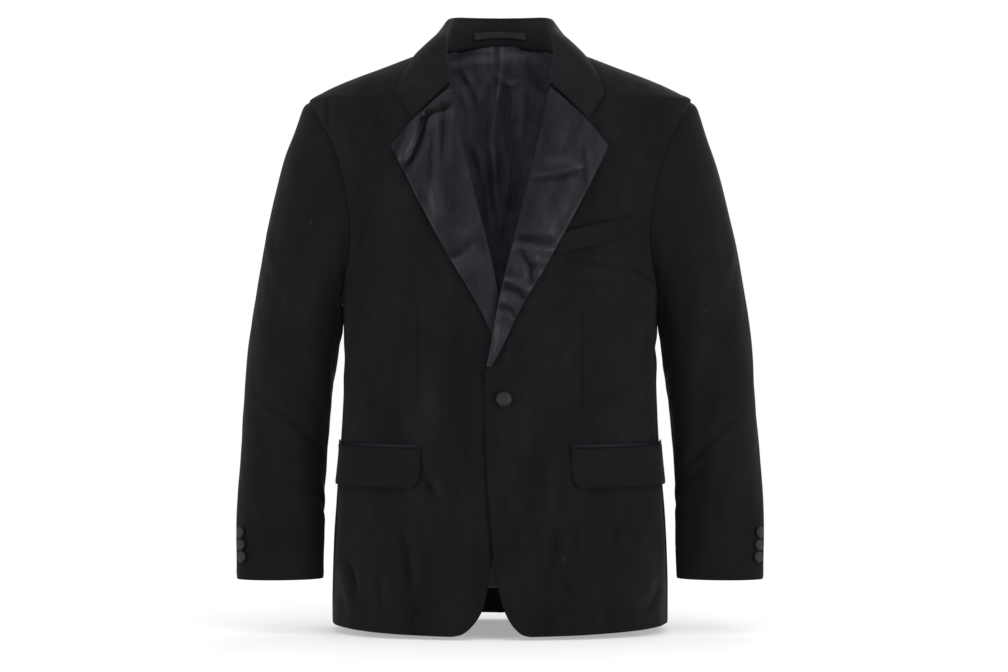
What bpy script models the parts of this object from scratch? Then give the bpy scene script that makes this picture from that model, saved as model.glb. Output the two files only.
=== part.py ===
"""Single-breasted dinner jacket on its own hollow form: cloth panels, sleeves, collar, lapels, pockets, buttons.

Metres, +Z up, +X towards the wearer's left, -Y to the front. The origin lies midway between the two
shoulders, at the height where a wearer's shoulders carry the cloth.
"""

import math
from collections import namedtuple

import bmesh
import bpy
from mathutils import Vector

# Cloth and gaps
CLOTH = 0.0020
SATIN = 0.0018
LINING = 0.0010
SEAM_GAP = 0.0003
HALF_GAP = SEAM_GAP / 2

# Half a seam's gap as an angle round the body, and as a share of the way round a sleeve
BODY_REACH = 0.200
GAP_ANGLE = HALF_GAP / BODY_REACH
SLEEVE_GIRTH = 0.400
CUFF_GIRTH = 0.300

# The body of the jacket as level sections. Half width is to the side, front and back are measured at the
# centre lines from the plane of the shoulder ridge, and the corners are rounder than a rectangle's by SQUARE.
Section = namedtuple("Section", "height half_width front back")
TORSO = (
    Section(-0.720, 0.2165, 0.1480, 0.1380),
    Section(-0.620, 0.2141, 0.1460, 0.1340),
    Section(-0.530, 0.2096, 0.1410, 0.1240),
    Section(-0.430, 0.2030, 0.1340, 0.1110),
    Section(-0.370, 0.2008, 0.1315, 0.1065),
    Section(-0.300, 0.2018, 0.1345, 0.1130),
    Section(-0.265, 0.2062, 0.1365, 0.1190),
    Section(-0.200, 0.2220, 0.1370, 0.1290),
    Section(-0.150, 0.2370, 0.1320, 0.1330),
    Section(-0.100, 0.2490, 0.1215, 0.1310),
    Section(-0.050, 0.2530, 0.1060, 0.1255),
    Section(-0.0225, 0.2457, 0.0935, 0.1200),
    Section(-0.0129, 0.2300, 0.0870, 0.1175),
    Section(-0.0026, 0.2090, 0.0800, 0.1150),
    Section(0.0077, 0.1838, 0.0725, 0.1120),
    Section(0.0181, 0.1560, 0.0640, 0.1075),
    Section(0.0284, 0.1296, 0.0550, 0.1025),
    Section(0.0380, 0.1050, 0.0450, 0.0970),
    Section(0.0485, 0.0780, 0.0330, 0.0910),
    Section(0.0585, 0.0500, 0.0200, 0.0850),
    Section(0.0700, 0.0200, 0.0080, 0.0780),
)
SQUARE = 2.4

# Landmarks on the body
HEM_FRONT = -0.6985
HEM_SIDE = -0.6925
HEM_BACK = -0.6945
HEM_FADE = 0.100
SHOULDER_TIP = -0.0225
NECK_POINT = 0.0485
NECK_BACK = 0.0585

# The armhole is an egg on the body, sampled all round: 0 at the shoulder tip, a quarter turn at the front
ARMHOLE_MIDDLE = -0.1485
ARMHOLE_HALF_HEIGHT = 0.1260
ARMHOLE_FRONT = math.radians(24.5)
ARMHOLE_BACK = math.radians(25.0)
ARMHOLE_SKEW = 0.17
ARMHOLE_SAMPLES = 24
FRONT_SEAM_SAMPLE = 11
BACK_SEAM_SAMPLE = 15

# Front edges below the break of the lapel, from the hem's corner up, for each front
Edge = namedtuple("Edge", "height left_x right_x")
FRONT_EDGE = (
    Edge(-0.6985, 0.0370, -0.0580),
    Edge(-0.6960, 0.0280, -0.0480),
    Edge(-0.6860, 0.0165, -0.0350),
    Edge(-0.6640, 0.0045, -0.0212),
    Edge(-0.6290, -0.0043, -0.0135),
    Edge(-0.5830, -0.0100, -0.0060),
    Edge(-0.5050, -0.0163, 0.0080),
    Edge(-0.4180, -0.0200, 0.0175),
    Edge(-0.3690, -0.0182, 0.0182),
)

# Lapel from its break up to the gorge: where it rolls over, and where its outer edge lies
LapelRow = namedtuple("LapelRow", "roll_x roll_height edge_x edge_height")
LAPEL = (
    LapelRow(-0.0176, -0.3630, -0.0106, -0.3630),
    LapelRow(-0.0137, -0.3450, 0.0030, -0.3380),
    LapelRow(-0.0045, -0.2915, 0.0235, -0.2940),
    LapelRow(0.0146, -0.2110, 0.0665, -0.2205),
    LapelRow(0.0311, -0.1450, 0.0995, -0.1600),
    LapelRow(0.0475, -0.0755, 0.1245, -0.1108),
    LapelRow(0.0620, -0.0140, 0.1365, -0.0868),
)
LAPEL_BELLY = 0.0022
LAPEL_REST = 0.0027
LAPEL_STEPS = 14
LEAF_STEPS = 5
LEAF_START = 0.0012
LEAF_GAP = SEAM_GAP * 1.5
NOTCH_AT = 0.62
GORGE_BOW = 0.0044
GORGE_BOW_SHARPNESS = 6
ROLL_TURNS = (-75, -35, 0, 35, 65)
ROLL_RADIUS = CLOTH / 2 + 2 * SEAM_GAP + SATIN
RIGHT_LAPEL_START = 1.05

# How far the left front stands out where it laps over the right one
LAP_LOW = CLOTH + 2 * SEAM_GAP
LAP_AT_LAPEL = 0.0098
LAP_FULL_X = 0.030
LAP_END_X = 0.085
LAP_SWELL_HEIGHT = -0.400
LAP_SWELL_RUN = 0.035
LAP_FADE_HEIGHT = -0.250
LAP_FADE_RUN = 0.130

# Collar sections from the gorge round to the centre back: neck seam, fold line and outer edge. The neck
# seam and the edge are then brought to the cloth they lie on.
CollarRow = namedtuple("CollarRow", "neck_x neck_y neck_z fold_x fold_y fold_z edge_x edge_y edge_z")
COLLAR = (
    CollarRow(0.0674, -0.0827, -0.0095, 0.0660, -0.0830, -0.0088, 0.1100, -0.1035, -0.0532),
    CollarRow(0.0702, -0.0686, 0.0083, 0.0683, -0.0700, 0.0115, 0.1310, -0.0865, -0.0230),
    CollarRow(0.0722, -0.0557, 0.0220, 0.0710, -0.0560, 0.0310, 0.1265, -0.0700, -0.0020),
    CollarRow(0.0755, -0.0381, 0.0360, 0.0720, -0.0370, 0.0530, 0.1170, -0.0480, 0.0190),
    CollarRow(0.0780, 0.0000, 0.0485, 0.0685, 0.0010, 0.0705, 0.1015, 0.0040, 0.0390),
    CollarRow(0.0750, 0.0300, 0.0497, 0.0655, 0.0320, 0.0830, 0.0920, 0.0450, 0.0430),
    CollarRow(0.0590, 0.0600, 0.0513, 0.0520, 0.0595, 0.0880, 0.0712, 0.0780, 0.0440),
    CollarRow(0.0310, 0.0795, 0.0560, 0.0290, 0.0770, 0.0892, 0.0400, 0.0960, 0.0435),
    CollarRow(0.0000, 0.0850, 0.0585, 0.0000, 0.0830, 0.0895, 0.0000, 0.1000, 0.0430),
)
COLLAR_STEPS = 2
COLLAR_CLOTH = 0.0018
COLLAR_FOLD_RADIUS = 0.0043
COLLAR_TUCK = 0.0028
COLLAR_REST = 0.0026
COLLAR_BELLY = 0.0012
COLLAR_FOLD_TURNS = (180, 120, 60, 0)
COLLAR_FALL_SHARES = (0.25, 0.5, 0.75, 1.0)

# Sleeve rings from the armhole to the cuff: the outer and inner side seen from the front, then how far
# the ring reaches forwards and backwards of its own middle, and where that middle lies
Ring = namedtuple("Ring", "along outer_x outer_z inner_x inner_z front back middle_y")
SLEEVE = (
    Ring(0.00, 0.2457, -0.0225, 0.2050, -0.2745, 0.0830, 0.0900, 0.0020),
    Ring(0.03, 0.2535, -0.0335, 0.2062, -0.2775, 0.0840, 0.0900, 0.0020),
    Ring(0.07, 0.2651, -0.0645, 0.2054, -0.2820, 0.0850, 0.0890, 0.0020),
    Ring(0.13, 0.2767, -0.0955, 0.2043, -0.2890, 0.0845, 0.0870, 0.0025),
    Ring(0.20, 0.2896, -0.1419, 0.2034, -0.3010, 0.0820, 0.0835, 0.0030),
    Ring(0.30, 0.3038, -0.2038, 0.2048, -0.3180, 0.0775, 0.0790, 0.0035),
    Ring(0.40, 0.3141, -0.2657, 0.2085, -0.3360, 0.0740, 0.0750, 0.0040),
    Ring(0.50, 0.3231, -0.3277, 0.2105, -0.3620, 0.0700, 0.0700, 0.0035),
    Ring(0.62, 0.3296, -0.4051, 0.2163, -0.4180, 0.0630, 0.0620, 0.0010),
    Ring(0.74, 0.3341, -0.4786, 0.2232, -0.4850, 0.0540, 0.0530, -0.0060),
    Ring(0.87, 0.3386, -0.5624, 0.2268, -0.5650, 0.0440, 0.0430, -0.0190),
    Ring(1.00, 0.3368, -0.6379, 0.2272, -0.6369, 0.0365, 0.0355, -0.0350),
)
SLEEVE_ROWS = 15
SLEEVE_ROW_POWER = 1.5
SLEEVE_ROW_EVENNESS = 0.45
SLEEVE_SETTLE = 0.34
SLEEVE_CLEAR = 0.0014
SLEEVE_CLEAR_FROM = 0.03
SLEEVE_CLEAR_UNTIL = 0.6
SLEEVE_STEP = 0.0004
SLEEVE_FOLD_FADES = (0.15, 0.08)
HEAD_ROWS = 2
HEAD_SEAM_GAPS = 3
SLEEVE_TWIST = math.radians(70.0)
SLEEVE_TWIST_FROM = 0.25
FOREARM_SAMPLE = 9
HINDARM_SAMPLE = 20

# Soft folds in the cloth of the sleeves: where along, where round (in turns), depth, length and width
Fold = namedtuple("Fold", "along turn depth half_length half_width slope")
SLEEVE_FOLDS = (
    Fold(0.50, 0.36, 0.0035, 0.16, 0.028, 0.55),
    Fold(0.58, 0.40, 0.0030, 0.15, 0.026, 0.40),
    Fold(0.66, 0.34, 0.0025, 0.13, 0.028, -0.35),
    Fold(0.42, 0.70, 0.0030, 0.14, 0.030, -0.45),
    Fold(0.60, 0.66, 0.0030, 0.14, 0.028, 0.35),
    Fold(0.85, 0.44, 0.0020, 0.12, 0.030, 0.50),
)

# Pockets, in the front view and then moved out from the cloth below
FLAP_TOP = -0.4656
FLAP_TOP_BACK = -0.4640
FLAP_DEPTH = 0.0500
FLAP_FRONT_LEFT_X = 0.0885
FLAP_FRONT_RIGHT_X = 0.0983
FLAP_BACK_ANGLE = math.radians(92.0)
FLAP_CORNER = 0.0150
FLAP_REACH = 0.180
FLAP_WALL = 0.0020
FLAP_COLUMNS = 10
FLAP_ROWS = 3
LAID_GAP = 0.0012
JET_HEIGHT = 0.0050
JET_WALL = 0.0016
WELT_BACK_X = 0.1655
WELT_FRONT_X = 0.0680
WELT_BACK_HEIGHT = -0.1735
WELT_FRONT_HEIGHT = -0.1975
WELT_DEPTH = 0.0265
WELT_WALL = 0.0010
WELT_COLUMNS = 6

# Buttons
FRONT_BUTTON = 0.0200
FRONT_BUTTON_SHANK = 0.0015
FRONT_BUTTON_X = 0.0050
FRONT_BUTTON_HEIGHT = -0.4035
CUFF_BUTTON = 0.0148
CUFF_BUTTONS = 3
CUFF_BUTTON_PITCH = 0.0152
CUFF_BUTTON_FROM_EDGE = 0.0290
CUFF_BUTTON_FROM_SEAM = 0.0190
CUFF_BUTTON_LIFT = 0.0004
BUTTON_DOME = 0.0044
BUTTON_SIDES = 12
BUTTON_OUTLINE = ((0.0, 1.0), (0.5, 0.94), (0.86, 0.7), (1.0, 0.42), (0.9, 0.1), (0.0, 0.0))
BUTTON_MERGE = 0.0001

# The lining of the back, with its centre pleat and loose waves
LINING_COLUMNS = 10
PLEAT_COLUMNS = 2
LINING_CLEAR = 0.0010
PLEAT_DEPTH = 0.0045
PLEAT_HALF_WIDTH = 0.0160
WAVE_DEPTH = 0.0016
WAVE_LENGTH = 0.0455
LINING_TOP = 0.70
LINING_FOOT = 0.32
LINING_CALM_ROWS = 6

# How the rows of a back crowd towards the yoke, and where they begin to bend to the shoulder seam
YOKE_CROWDING = 1.35
YOKE_FROM = 0.35

# Where the panel under the arm begins to bend to the armhole
SIDE_RISE_FROM = 0.6

# The loop inside the collar's stand
LOOP_WIDTH = 0.0680
LOOP_FROM = 0.42
LOOP_TO = 0.64
LOOP_WALL = 0.0012
LOOP_BOW = 0.0010
LOOP_COLUMNS = 8
LOOP_NEAR_SECTIONS = 3

# How finely the panels are divided
SHARP_EDGE = math.radians(40)
FRONT_SEGMENTS = 8
NECK_SEGMENTS = 8
BODY_ROWS = 8
TURN = 2 * math.pi
RIGHT_ANGLE = math.pi / 2


def blend(a, b, share):
    """The value that lies a share of the way from a to b."""
    return a + (b - a) * share


def ease(value):
    """A smooth step from 0 to 1."""
    value = min(1.0, max(0.0, value))
    return value * value * (3 - 2 * value)


def along_table(keys, values, at):
    """Reads a smooth curve through a short table, with no overshoot between its rows."""
    at = min(max(at, keys[0]), keys[-1])
    i = max(k for k in range(len(keys) - 1) if keys[k] <= at)
    step = keys[i + 1] - keys[i]

    def slope(k):
        if k in (0, len(keys) - 1):
            j = min(k, len(keys) - 2)
            return (values[j + 1] - values[j]) / (keys[j + 1] - keys[j])
        before = (values[k] - values[k - 1]) / (keys[k] - keys[k - 1])
        after = (values[k + 1] - values[k]) / (keys[k + 1] - keys[k])
        return 0.0 if before * after <= 0 else 2 * before * after / (before + after)

    t = (at - keys[i]) / step
    return (
        values[i] * (1 + 2 * t) * (1 - t) ** 2
        + values[i + 1] * t * t * (3 - 2 * t)
        + slope(i) * step * t * (1 - t) ** 2
        - slope(i + 1) * step * t * t * (1 - t)
    )


def column(table, name):
    """One named column of a table."""
    return [getattr(row, name) for row in table]


def section(height):
    """Half width, front depth and back depth of the body at a height."""
    keys = column(TORSO, "height")
    return [along_table(keys, column(TORSO, name), height) for name in ("half_width", "front", "back")]


def body(angle, height):
    """A point of the body's outer face. Angle 0 is the centre front, and half a turn the centre back."""
    half_width, front, back = section(height)
    depth = front if math.cos(angle) > 0 else back
    across = abs(math.sin(angle) / half_width) ** SQUARE
    ahead = abs(math.cos(angle) / depth) ** SQUARE
    radius = (across + ahead) ** (-1 / SQUARE)
    return Vector((radius * math.sin(angle), -radius * math.cos(angle), height))


def body_normal(angle, height):
    """The outward direction of the body's face."""
    da, dh = 0.01, 0.002
    top, bottom = min(height + dh, TORSO[-1].height), height - dh
    round_it = body(angle + da, height) - body(angle - da, height)
    up_it = body(angle, top) - body(angle, bottom)
    return round_it.cross(up_it).normalized()


def angle_of(x, height):
    """The angle at which the front of the body has this x."""
    half_width, front, _ = section(height)
    share = min(abs(x) / half_width, 0.9999)
    y = front * (1 - share**SQUARE) ** (1 / SQUARE)
    return math.copysign(math.atan2(abs(x), y), x)


def lap(x, height, side):
    """How far a front stands out from the body near the closing: only the left one, which lies on top."""
    if side < 0:
        return 0.0
    over_lapel = ease((height - LAP_SWELL_HEIGHT) / LAP_SWELL_RUN)
    faded = ease((height - LAP_FADE_HEIGHT) / LAP_FADE_RUN)
    full = blend(LAP_LOW, LAP_AT_LAPEL, over_lapel) * (1 - faded)
    return full * (1 - ease((x - LAP_FULL_X) / (LAP_END_X - LAP_FULL_X)))


def on_body(angle, height, side, out=0.0):
    """(point, normal) of the body's face on one side, moved out. Side is 1 for the wearer's left."""
    point, normal = body(angle, height), body_normal(angle, height)
    point = point + normal * (out + lap(point.x, height, side if abs(angle) < RIGHT_ANGLE else -1))
    return mirrored(point, side), mirrored(normal, side)


def mirrored(vector, side):
    """The vector itself on the wearer's left, or its mirror image."""
    return Vector((vector.x * side, vector.y, vector.z))


def off_body(point):
    """(distance from the body's face, outward direction) of a point near it."""

    def ratio(x, y, z):
        half_width, front, back = section(z)
        depth = front if y < 0 else back
        return (abs(x / half_width) ** SQUARE + abs(y / depth) ** SQUARE) ** (1 / SQUARE)

    step = 0.0005
    x, y, z = point
    slope = Vector(
        (
            ratio(x + step, y, z) - ratio(x - step, y, z),
            ratio(x, y + step, z) - ratio(x, y - step, z),
            ratio(x, y, z + step) - ratio(x, y, z - step),
        )
    ) / (2 * step)
    return (ratio(x, y, z) - 1) / slope.length, slope.normalized()


def brought_to(point, lift, only_out=False):
    """The point moved to a given distance from the body's face, or at least to that distance."""
    for _ in range(4):
        distance, out = off_body(point)
        if distance < lift or not only_out:
            point = point + out * (lift - distance)
    return point


def on_front(x, height, side, out=0.0):
    """The same for a place given in the front view."""
    return on_body(angle_of(x, height), height, side, out)


def armhole(sample):
    """(angle, height) of a point of the armhole."""
    phi = TURN * sample / ARMHOLE_SAMPLES
    reach = ARMHOLE_FRONT if math.sin(phi) > 0 else ARMHOLE_BACK
    angle = RIGHT_ANGLE - reach * math.sin(phi) * (1 - ARMHOLE_SKEW * math.cos(phi))
    return angle, ARMHOLE_MIDDLE + ARMHOLE_HALF_HEIGHT * math.cos(phi)


def material(name, colour, roughness, sheen=0.0):
    """A plain cloth finish."""
    made = bpy.data.materials.new(name)
    made.use_nodes = True
    shader = made.node_tree.nodes["Principled BSDF"]
    shader.inputs["Base Color"].default_value = (*colour, 1.0)
    shader.inputs["Roughness"].default_value = roughness
    shader.inputs["Metallic"].default_value = 0.0
    shader.inputs["Sheen Weight"].default_value = sheen
    return made


def finished(name, bm, collection, finish):
    """Puts a closed mesh in the scene under its node's name."""
    bmesh.ops.recalc_face_normals(bm, faces=bm.faces)
    if bm.calc_volume(signed=True) < 0:
        bmesh.ops.reverse_faces(bm, faces=bm.faces)
    mesh = bpy.data.meshes.new(name)
    bm.to_mesh(mesh)
    bm.free()
    mesh.shade_smooth()
    mesh.set_sharp_from_angle(angle=SHARP_EDGE)
    mesh.materials.append(finish)
    made = bpy.data.objects.new(name, mesh)
    collection.objects.link(made)
    return made


def wall(name, rows, thickness, collection, finish, turned=0):
    """Lofts a closed wall from rows of (point, normal): the outer face, the same face moved in, and the rim.

    The four-sided patches of the first turned columns are split along their other diagonal.
    """
    bm = bmesh.new()
    outer = [[bm.verts.new(p) for p, _ in row] for row in rows]
    inner = [[bm.verts.new(p - n * thickness) for p, n in row] for row in rows]
    last, end = len(rows) - 1, len(rows[0]) - 1

    def patch(a, b, c, d):
        bm.faces.new((a, b, c))
        bm.faces.new((a, c, d))

    for i in range(last):
        for j in range(end):
            for face in (outer, inner):
                corners = (face[i][j], face[i][j + 1], face[i + 1][j + 1], face[i + 1][j])
                patch(*(corners[1:] + corners[:1] if j < turned else corners))
    for i in range(last):
        patch(outer[i][0], outer[i + 1][0], inner[i + 1][0], inner[i][0])
        patch(outer[i][end], inner[i][end], inner[i + 1][end], outer[i + 1][end])
    for j in range(end):
        patch(outer[0][j + 1], outer[0][j], inner[0][j], inner[0][j + 1])
        patch(outer[last][j], outer[last][j + 1], inner[last][j + 1], inner[last][j])
    return finished(name, bm, collection, finish)


def seam_heights(top, bottom):
    """Heights along a side seam, from the hem to the armhole."""
    return [blend(bottom, top, i / BODY_ROWS) for i in range(BODY_ROWS + 1)]


def neckline(steps=1):
    """The neck seam on the body's face, from the gorge to the centre back."""
    keys = list(range(len(COLLAR)))
    found = []
    for i in range((len(COLLAR) - 1) * steps + 1):
        place = Vector([along_table(keys, column(COLLAR, n), i / steps) for n in CollarRow._fields[:3]])
        found.append(brought_to(place, 0.0))
    return found


def front_inner_edge(side):
    """(x, height) down the middle of one front: hem corner, front edge, roll line and neckline."""
    name = "left_x" if side > 0 else "right_x"
    low = [(getattr(row, name) * side, row.height) for row in FRONT_EDGE]
    roll = [(row.roll_x + ROLL_RADIUS, row.roll_height) for row in LAPEL]
    neck = [(point.x, point.z) for point in neckline()[1:4]]
    return low + roll + neck


def front_panel(side):
    """Rows of one front, each from the middle of the jacket to the side seam or the armhole."""
    seam_angle, seam_top = armhole(FRONT_SEAM_SAMPLE)
    outer = [(seam_angle - GAP_ANGLE, z) for z in seam_heights(seam_top, HEM_SIDE)]
    outer += [armhole(s) for s in range(FRONT_SEAM_SAMPLE - 1, -1, -1)]
    inner = [(angle_of(x, z), z) for x, z in front_inner_edge(side)] + [(RIGHT_ANGLE, NECK_POINT)]
    rows = []
    for (angle_in, z_in), (angle_out, z_out) in zip(inner, outer):
        hem_drop = (HEM_FRONT - HEM_SIDE) * (1 - ease((z_out - HEM_SIDE) / HEM_FADE))
        row = []
        for j in range(FRONT_SEGMENTS + 1):
            share = j / FRONT_SEGMENTS
            angle = blend(angle_in, angle_out, share)
            height = blend(z_in, z_out, share) + hem_drop * share * (1 - share) ** 2
            row.append(on_body(angle, height, side))
        rows.append(row)
    rows[-1] = shoulder_seam(side, -1, FRONT_SEGMENTS)
    return rows


def shoulder_seam(side, way, segments):
    """The row along the shoulder ridge from the neck to the tip. Way is -1 on the front and 1 on the back."""
    row = []
    for j in range(segments + 1):
        height = blend(NECK_POINT, SHOULDER_TIP, j / segments)
        point, normal = body(RIGHT_ANGLE, height), body_normal(RIGHT_ANGLE, height)
        point = point + Vector((0, way * HALF_GAP, 0))
        row.append((mirrored(point, side), mirrored(normal, side)))
    return row


def side_panel(side):
    """Rows of the panel under the arm, from the front's seam to the back's."""
    front_angle, front_top = armhole(FRONT_SEAM_SAMPLE)
    back_angle, back_top = armhole(BACK_SEAM_SAMPLE)
    front_heights = seam_heights(front_top, HEM_SIDE)
    back_heights = seam_heights(back_top, HEM_SIDE)
    segments = BACK_SEAM_SAMPLE - FRONT_SEAM_SAMPLE
    rows = []
    for i, (z_front, z_back) in enumerate(zip(front_heights, back_heights)):
        rise = ease((i / BODY_ROWS - SIDE_RISE_FROM) / (1 - SIDE_RISE_FROM))
        row = []
        for j in range(segments + 1):
            share = j / segments
            angle = blend(front_angle + GAP_ANGLE, back_angle - GAP_ANGLE, share)
            height = blend(z_front, z_back, share)
            edge_angle, edge_height = armhole(FRONT_SEAM_SAMPLE + j)
            if 0 < j < segments:
                angle = blend(angle, edge_angle, rise)
            height += rise * (edge_height - blend(front_top, back_top, share))
            row.append(on_body(angle, height, side))
        rows.append(row)
    return rows


def back_panel(side):
    """Rows of one half of the back, from the centre seam to the side seam or the armhole."""
    seam_angle, seam_top = armhole(BACK_SEAM_SAMPLE)
    outer = [(seam_angle + GAP_ANGLE, z) for z in seam_heights(seam_top, HEM_SIDE)]
    outer += [armhole(s) for s in range(BACK_SEAM_SAMPLE + 1, ARMHOLE_SAMPLES + 1)]
    count = len(outer) - 1
    segments = NECK_SEGMENTS + FRONT_SEGMENTS
    tops = [back_top(j) for j in range(segments + 1)]
    rows = []
    for i, (angle_out, z_out) in enumerate(outer):
        z_in = blend(NECK_BACK, HEM_BACK, (1 - i / count) ** YOKE_CROWDING)
        rise = max(0.0, (i / count - YOKE_FROM) / (1 - YOKE_FROM)) ** 2
        row = []
        for j in range(segments + 1):
            share = j / segments
            angle = blend(math.pi, angle_out, share)
            height = blend(z_in, z_out, share)
            top_angle, top_height = tops[j]
            linear_angle = blend(math.pi, RIGHT_ANGLE, share)
            linear_height = blend(NECK_BACK, SHOULDER_TIP, share)
            angle += rise * (top_angle - linear_angle)
            height += rise * (top_height - linear_height)
            point, normal = on_body(angle, height, side)
            if j == 0:
                point = point + Vector((side * HALF_GAP, 0, 0))
            row.append((point, normal))
        rows.append(row)
    rows[-1][NECK_SEGMENTS:] = shoulder_seam(side, 1, FRONT_SEGMENTS)
    return rows


def back_top(j):
    """(angle, height) along the back's neckline and then its shoulder seam."""
    if j < NECK_SEGMENTS:
        point = neckline(COLLAR_STEPS)[-1 - j]
        return math.atan2(point.x, -point.y), point.z
    share = (j - NECK_SEGMENTS) / FRONT_SEGMENTS
    return RIGHT_ANGLE, blend(NECK_POINT, SHOULDER_TIP, share)


def sleeve_point(sample, along):
    """A point of the left sleeve's outer face. The ring starts as the armhole and turns into an ellipse."""
    keys = column(SLEEVE, "along")
    ring = [along_table(keys, column(SLEEVE, name), along) for name in Ring._fields[1:]]
    start = SLEEVE[0][1:]
    phi = TURN * sample / ARMHOLE_SAMPLES
    turned = phi + SLEEVE_TWIST * ease((along - SLEEVE_TWIST_FROM) / (1 - SLEEVE_TWIST_FROM))
    settle = (1 - min(along / SLEEVE_SETTLE, 1.0)) ** 2
    on_loop = body(*armhole(sample))
    point = ellipse(ring, turned) + (on_loop - ellipse(start, phi)) * settle
    if 0 < along < SLEEVE_CLEAR_UNTIL:
        point = brought_to(point, SLEEVE_CLEAR * min(along / SLEEVE_CLEAR_FROM, 1.0), only_out=True)
    return point


def ellipse(ring, phi):
    """A point of a sleeve's ring, which leans in the front view and is upright in the side view."""
    outer_x, outer_z, inner_x, inner_z, front, back, middle_y = ring
    half = math.cos(phi) / 2
    reach = -front * math.sin(phi) if math.sin(phi) > 0 else -back * math.sin(phi)
    x = (outer_x + inner_x) / 2 + (outer_x - inner_x) * half
    z = (outer_z + inner_z) / 2 + (outer_z - inner_z) * half
    return Vector((x, middle_y + reach, z))


def sleeve_normal(sample, along):
    """The outward direction of the sleeve's face."""
    ds, da = 0.25, 0.01
    low, high = max(along - da, 0.0), min(along + da, 1.0)
    round_it = sleeve_point(sample + ds, along) - sleeve_point(sample - ds, along)
    down_it = sleeve_point(sample, high) - sleeve_point(sample, low)
    return round_it.cross(down_it).normalized()


def fold_depth(sample, along):
    """How far the cloth sinks in the soft folds of the sleeve."""
    turn = (sample / ARMHOLE_SAMPLES) % 1.0
    sunk = 0.0
    for fold in SLEEVE_FOLDS:
        away = (turn - fold.turn + 0.5) % 1.0 - 0.5
        across = along - fold.along - fold.slope * away
        sunk += fold.depth * math.exp(-((away / fold.half_length) ** 2) - (across / fold.half_width) ** 2)
    return sunk


def sleeve_panel(first, last, side):
    """Rows of one piece of a sleeve, from the armhole to the cuff, between two seams."""
    rows = []
    gap_samples = HALF_GAP / SLEEVE_GIRTH * ARMHOLE_SAMPLES
    for i in range(SLEEVE_ROWS + 1):
        share = i / SLEEVE_ROWS
        along = blend(share**SLEEVE_ROW_POWER, share, SLEEVE_ROW_EVENNESS)
        fade = ease(along / SLEEVE_FOLD_FADES[0]) * ease((1 - along) / SLEEVE_FOLD_FADES[1])
        row = []
        for sample in range(first, last + 1):
            gaps = HEAD_SEAM_GAPS if i < HEAD_ROWS else 1
            inset = gap_samples * gaps * ((sample == first) - (sample == last))
            point = sleeve_point(sample + inset, along)
            normal = sleeve_normal(sample + inset, along)
            point = point - normal * fold_depth(sample, along) * fade
            if i == 0:
                away, body_out = armhole_step(sample + inset)
                turned = 1 - ease((normal.dot(body_out) + 0.5) / 0.8)
                point = point + away * SEAM_GAP + body_out * SLEEVE_STEP * turned
                normal = body_out.lerp(normal, turned).normalized()
            row.append((mirrored(point, side), mirrored(normal, side)))
        rows.append(row)
    return rows


def armhole_step(sample):
    """(direction off the armhole's edge towards the sleeve, outward direction of the body) at a sample."""
    here = body(*armhole(sample))
    ahead = body(*armhole(sample + 0.5)) - body(*armhole(sample - 0.5))
    normal = body_normal(*armhole(sample))
    return ahead.cross(normal).normalized() * -1, normal


def lapel_panel(side):
    """Rows of one lapel, from its break to the gorge: the roll round the front's edge, then the leaf."""
    first = 0.0 if side > 0 else RIGHT_LAPEL_START
    keys = list(range(len(LAPEL)))
    rows = []
    for i in range(LAPEL_STEPS + 1):
        at = blend(first, len(LAPEL) - 1, i / LAPEL_STEPS)
        roll_x, roll_z, edge_x, edge_z = (along_table(keys, column(LAPEL, n), at) for n in LapelRow._fields)
        start_x = roll_x + ROLL_RADIUS
        row = []
        centre, normal = on_front(start_x, roll_z, side, -CLOTH / 2)
        across = mirrored(Vector((-1, 0, 0)), side)
        across = (across - normal * across.dot(normal)).normalized()
        for turn in ROLL_TURNS:
            a = math.radians(turn)
            way = across * math.cos(a) + normal * math.sin(a)
            row.append((centre + way * ROLL_RADIUS, way))
        for j in range(LEAF_STEPS + 1):
            share = j / LEAF_STEPS
            x = blend(start_x + LEAF_START, edge_x, share)
            bow = min(share / NOTCH_AT, (1 - share) / (1 - NOTCH_AT))
            z = blend(roll_z, edge_z, share) + GORGE_BOW * bow * (at / keys[-1]) ** GORGE_BOW_SHARPNESS
            swollen = LEAF_GAP + LAPEL_BELLY * math.sin(math.pi * min(1, share * 1.2 + 0.05))
            resting = blend(LEAF_GAP, LAPEL_REST, ease(share * 1.6))
            row.append(on_front(x, z, side, SATIN + max(swollen, resting)))
        rows.append(row)
    return rows


def collar_sections():
    """Collar sections all round the neck, from the right gorge to the left one, as (neck, fold, edge)."""
    keys = list(range(len(COLLAR)))
    count = (len(COLLAR) - 1) * COLLAR_STEPS
    half = []
    for i in range(count + 1):
        at = i / COLLAR_STEPS
        values = [along_table(keys, column(COLLAR, n), at) for n in CollarRow._fields]
        neck, fold, edge = (Vector(values[k : k + 3]) for k in (0, 3, 6))
        neck = brought_to(neck, -CLOTH / 2)
        fold = brought_to(fold, -CLOTH / 2, only_out=at > 0)
        half.append([neck, fold, brought_to(edge, COLLAR_REST)])
    right = [[mirrored(p, -1) for p in found] for found in half[:-1]]
    return right + half[::-1]


def collar_frames():
    """(neck, fold, edge, out, down, tangent) of each collar section."""
    sections = collar_sections()
    frames = []
    for i, (neck, fold, edge) in enumerate(sections):
        before, after = sections[max(i - 1, 0)][1], sections[min(i + 1, len(sections) - 1)][1]
        tangent = (after - before).normalized()
        down = edge - fold
        down = (down - tangent * down.dot(tangent)).normalized()
        out = tangent.cross(down)
        out = out if out.dot(off_body(edge)[1]) > 0 else -out
        frames.append((neck, fold, edge, out, down, tangent))
    return frames


def stand_face(frame, share):
    """A point of the stand's inner face, from its neck seam to the fold."""
    neck, fold, _, out, down, _ = frame
    tuck = max(0.0, COLLAR_TUCK - (fold - neck).length)
    return (neck + down * tuck).lerp(fold, share) - out * COLLAR_FOLD_RADIUS


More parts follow.
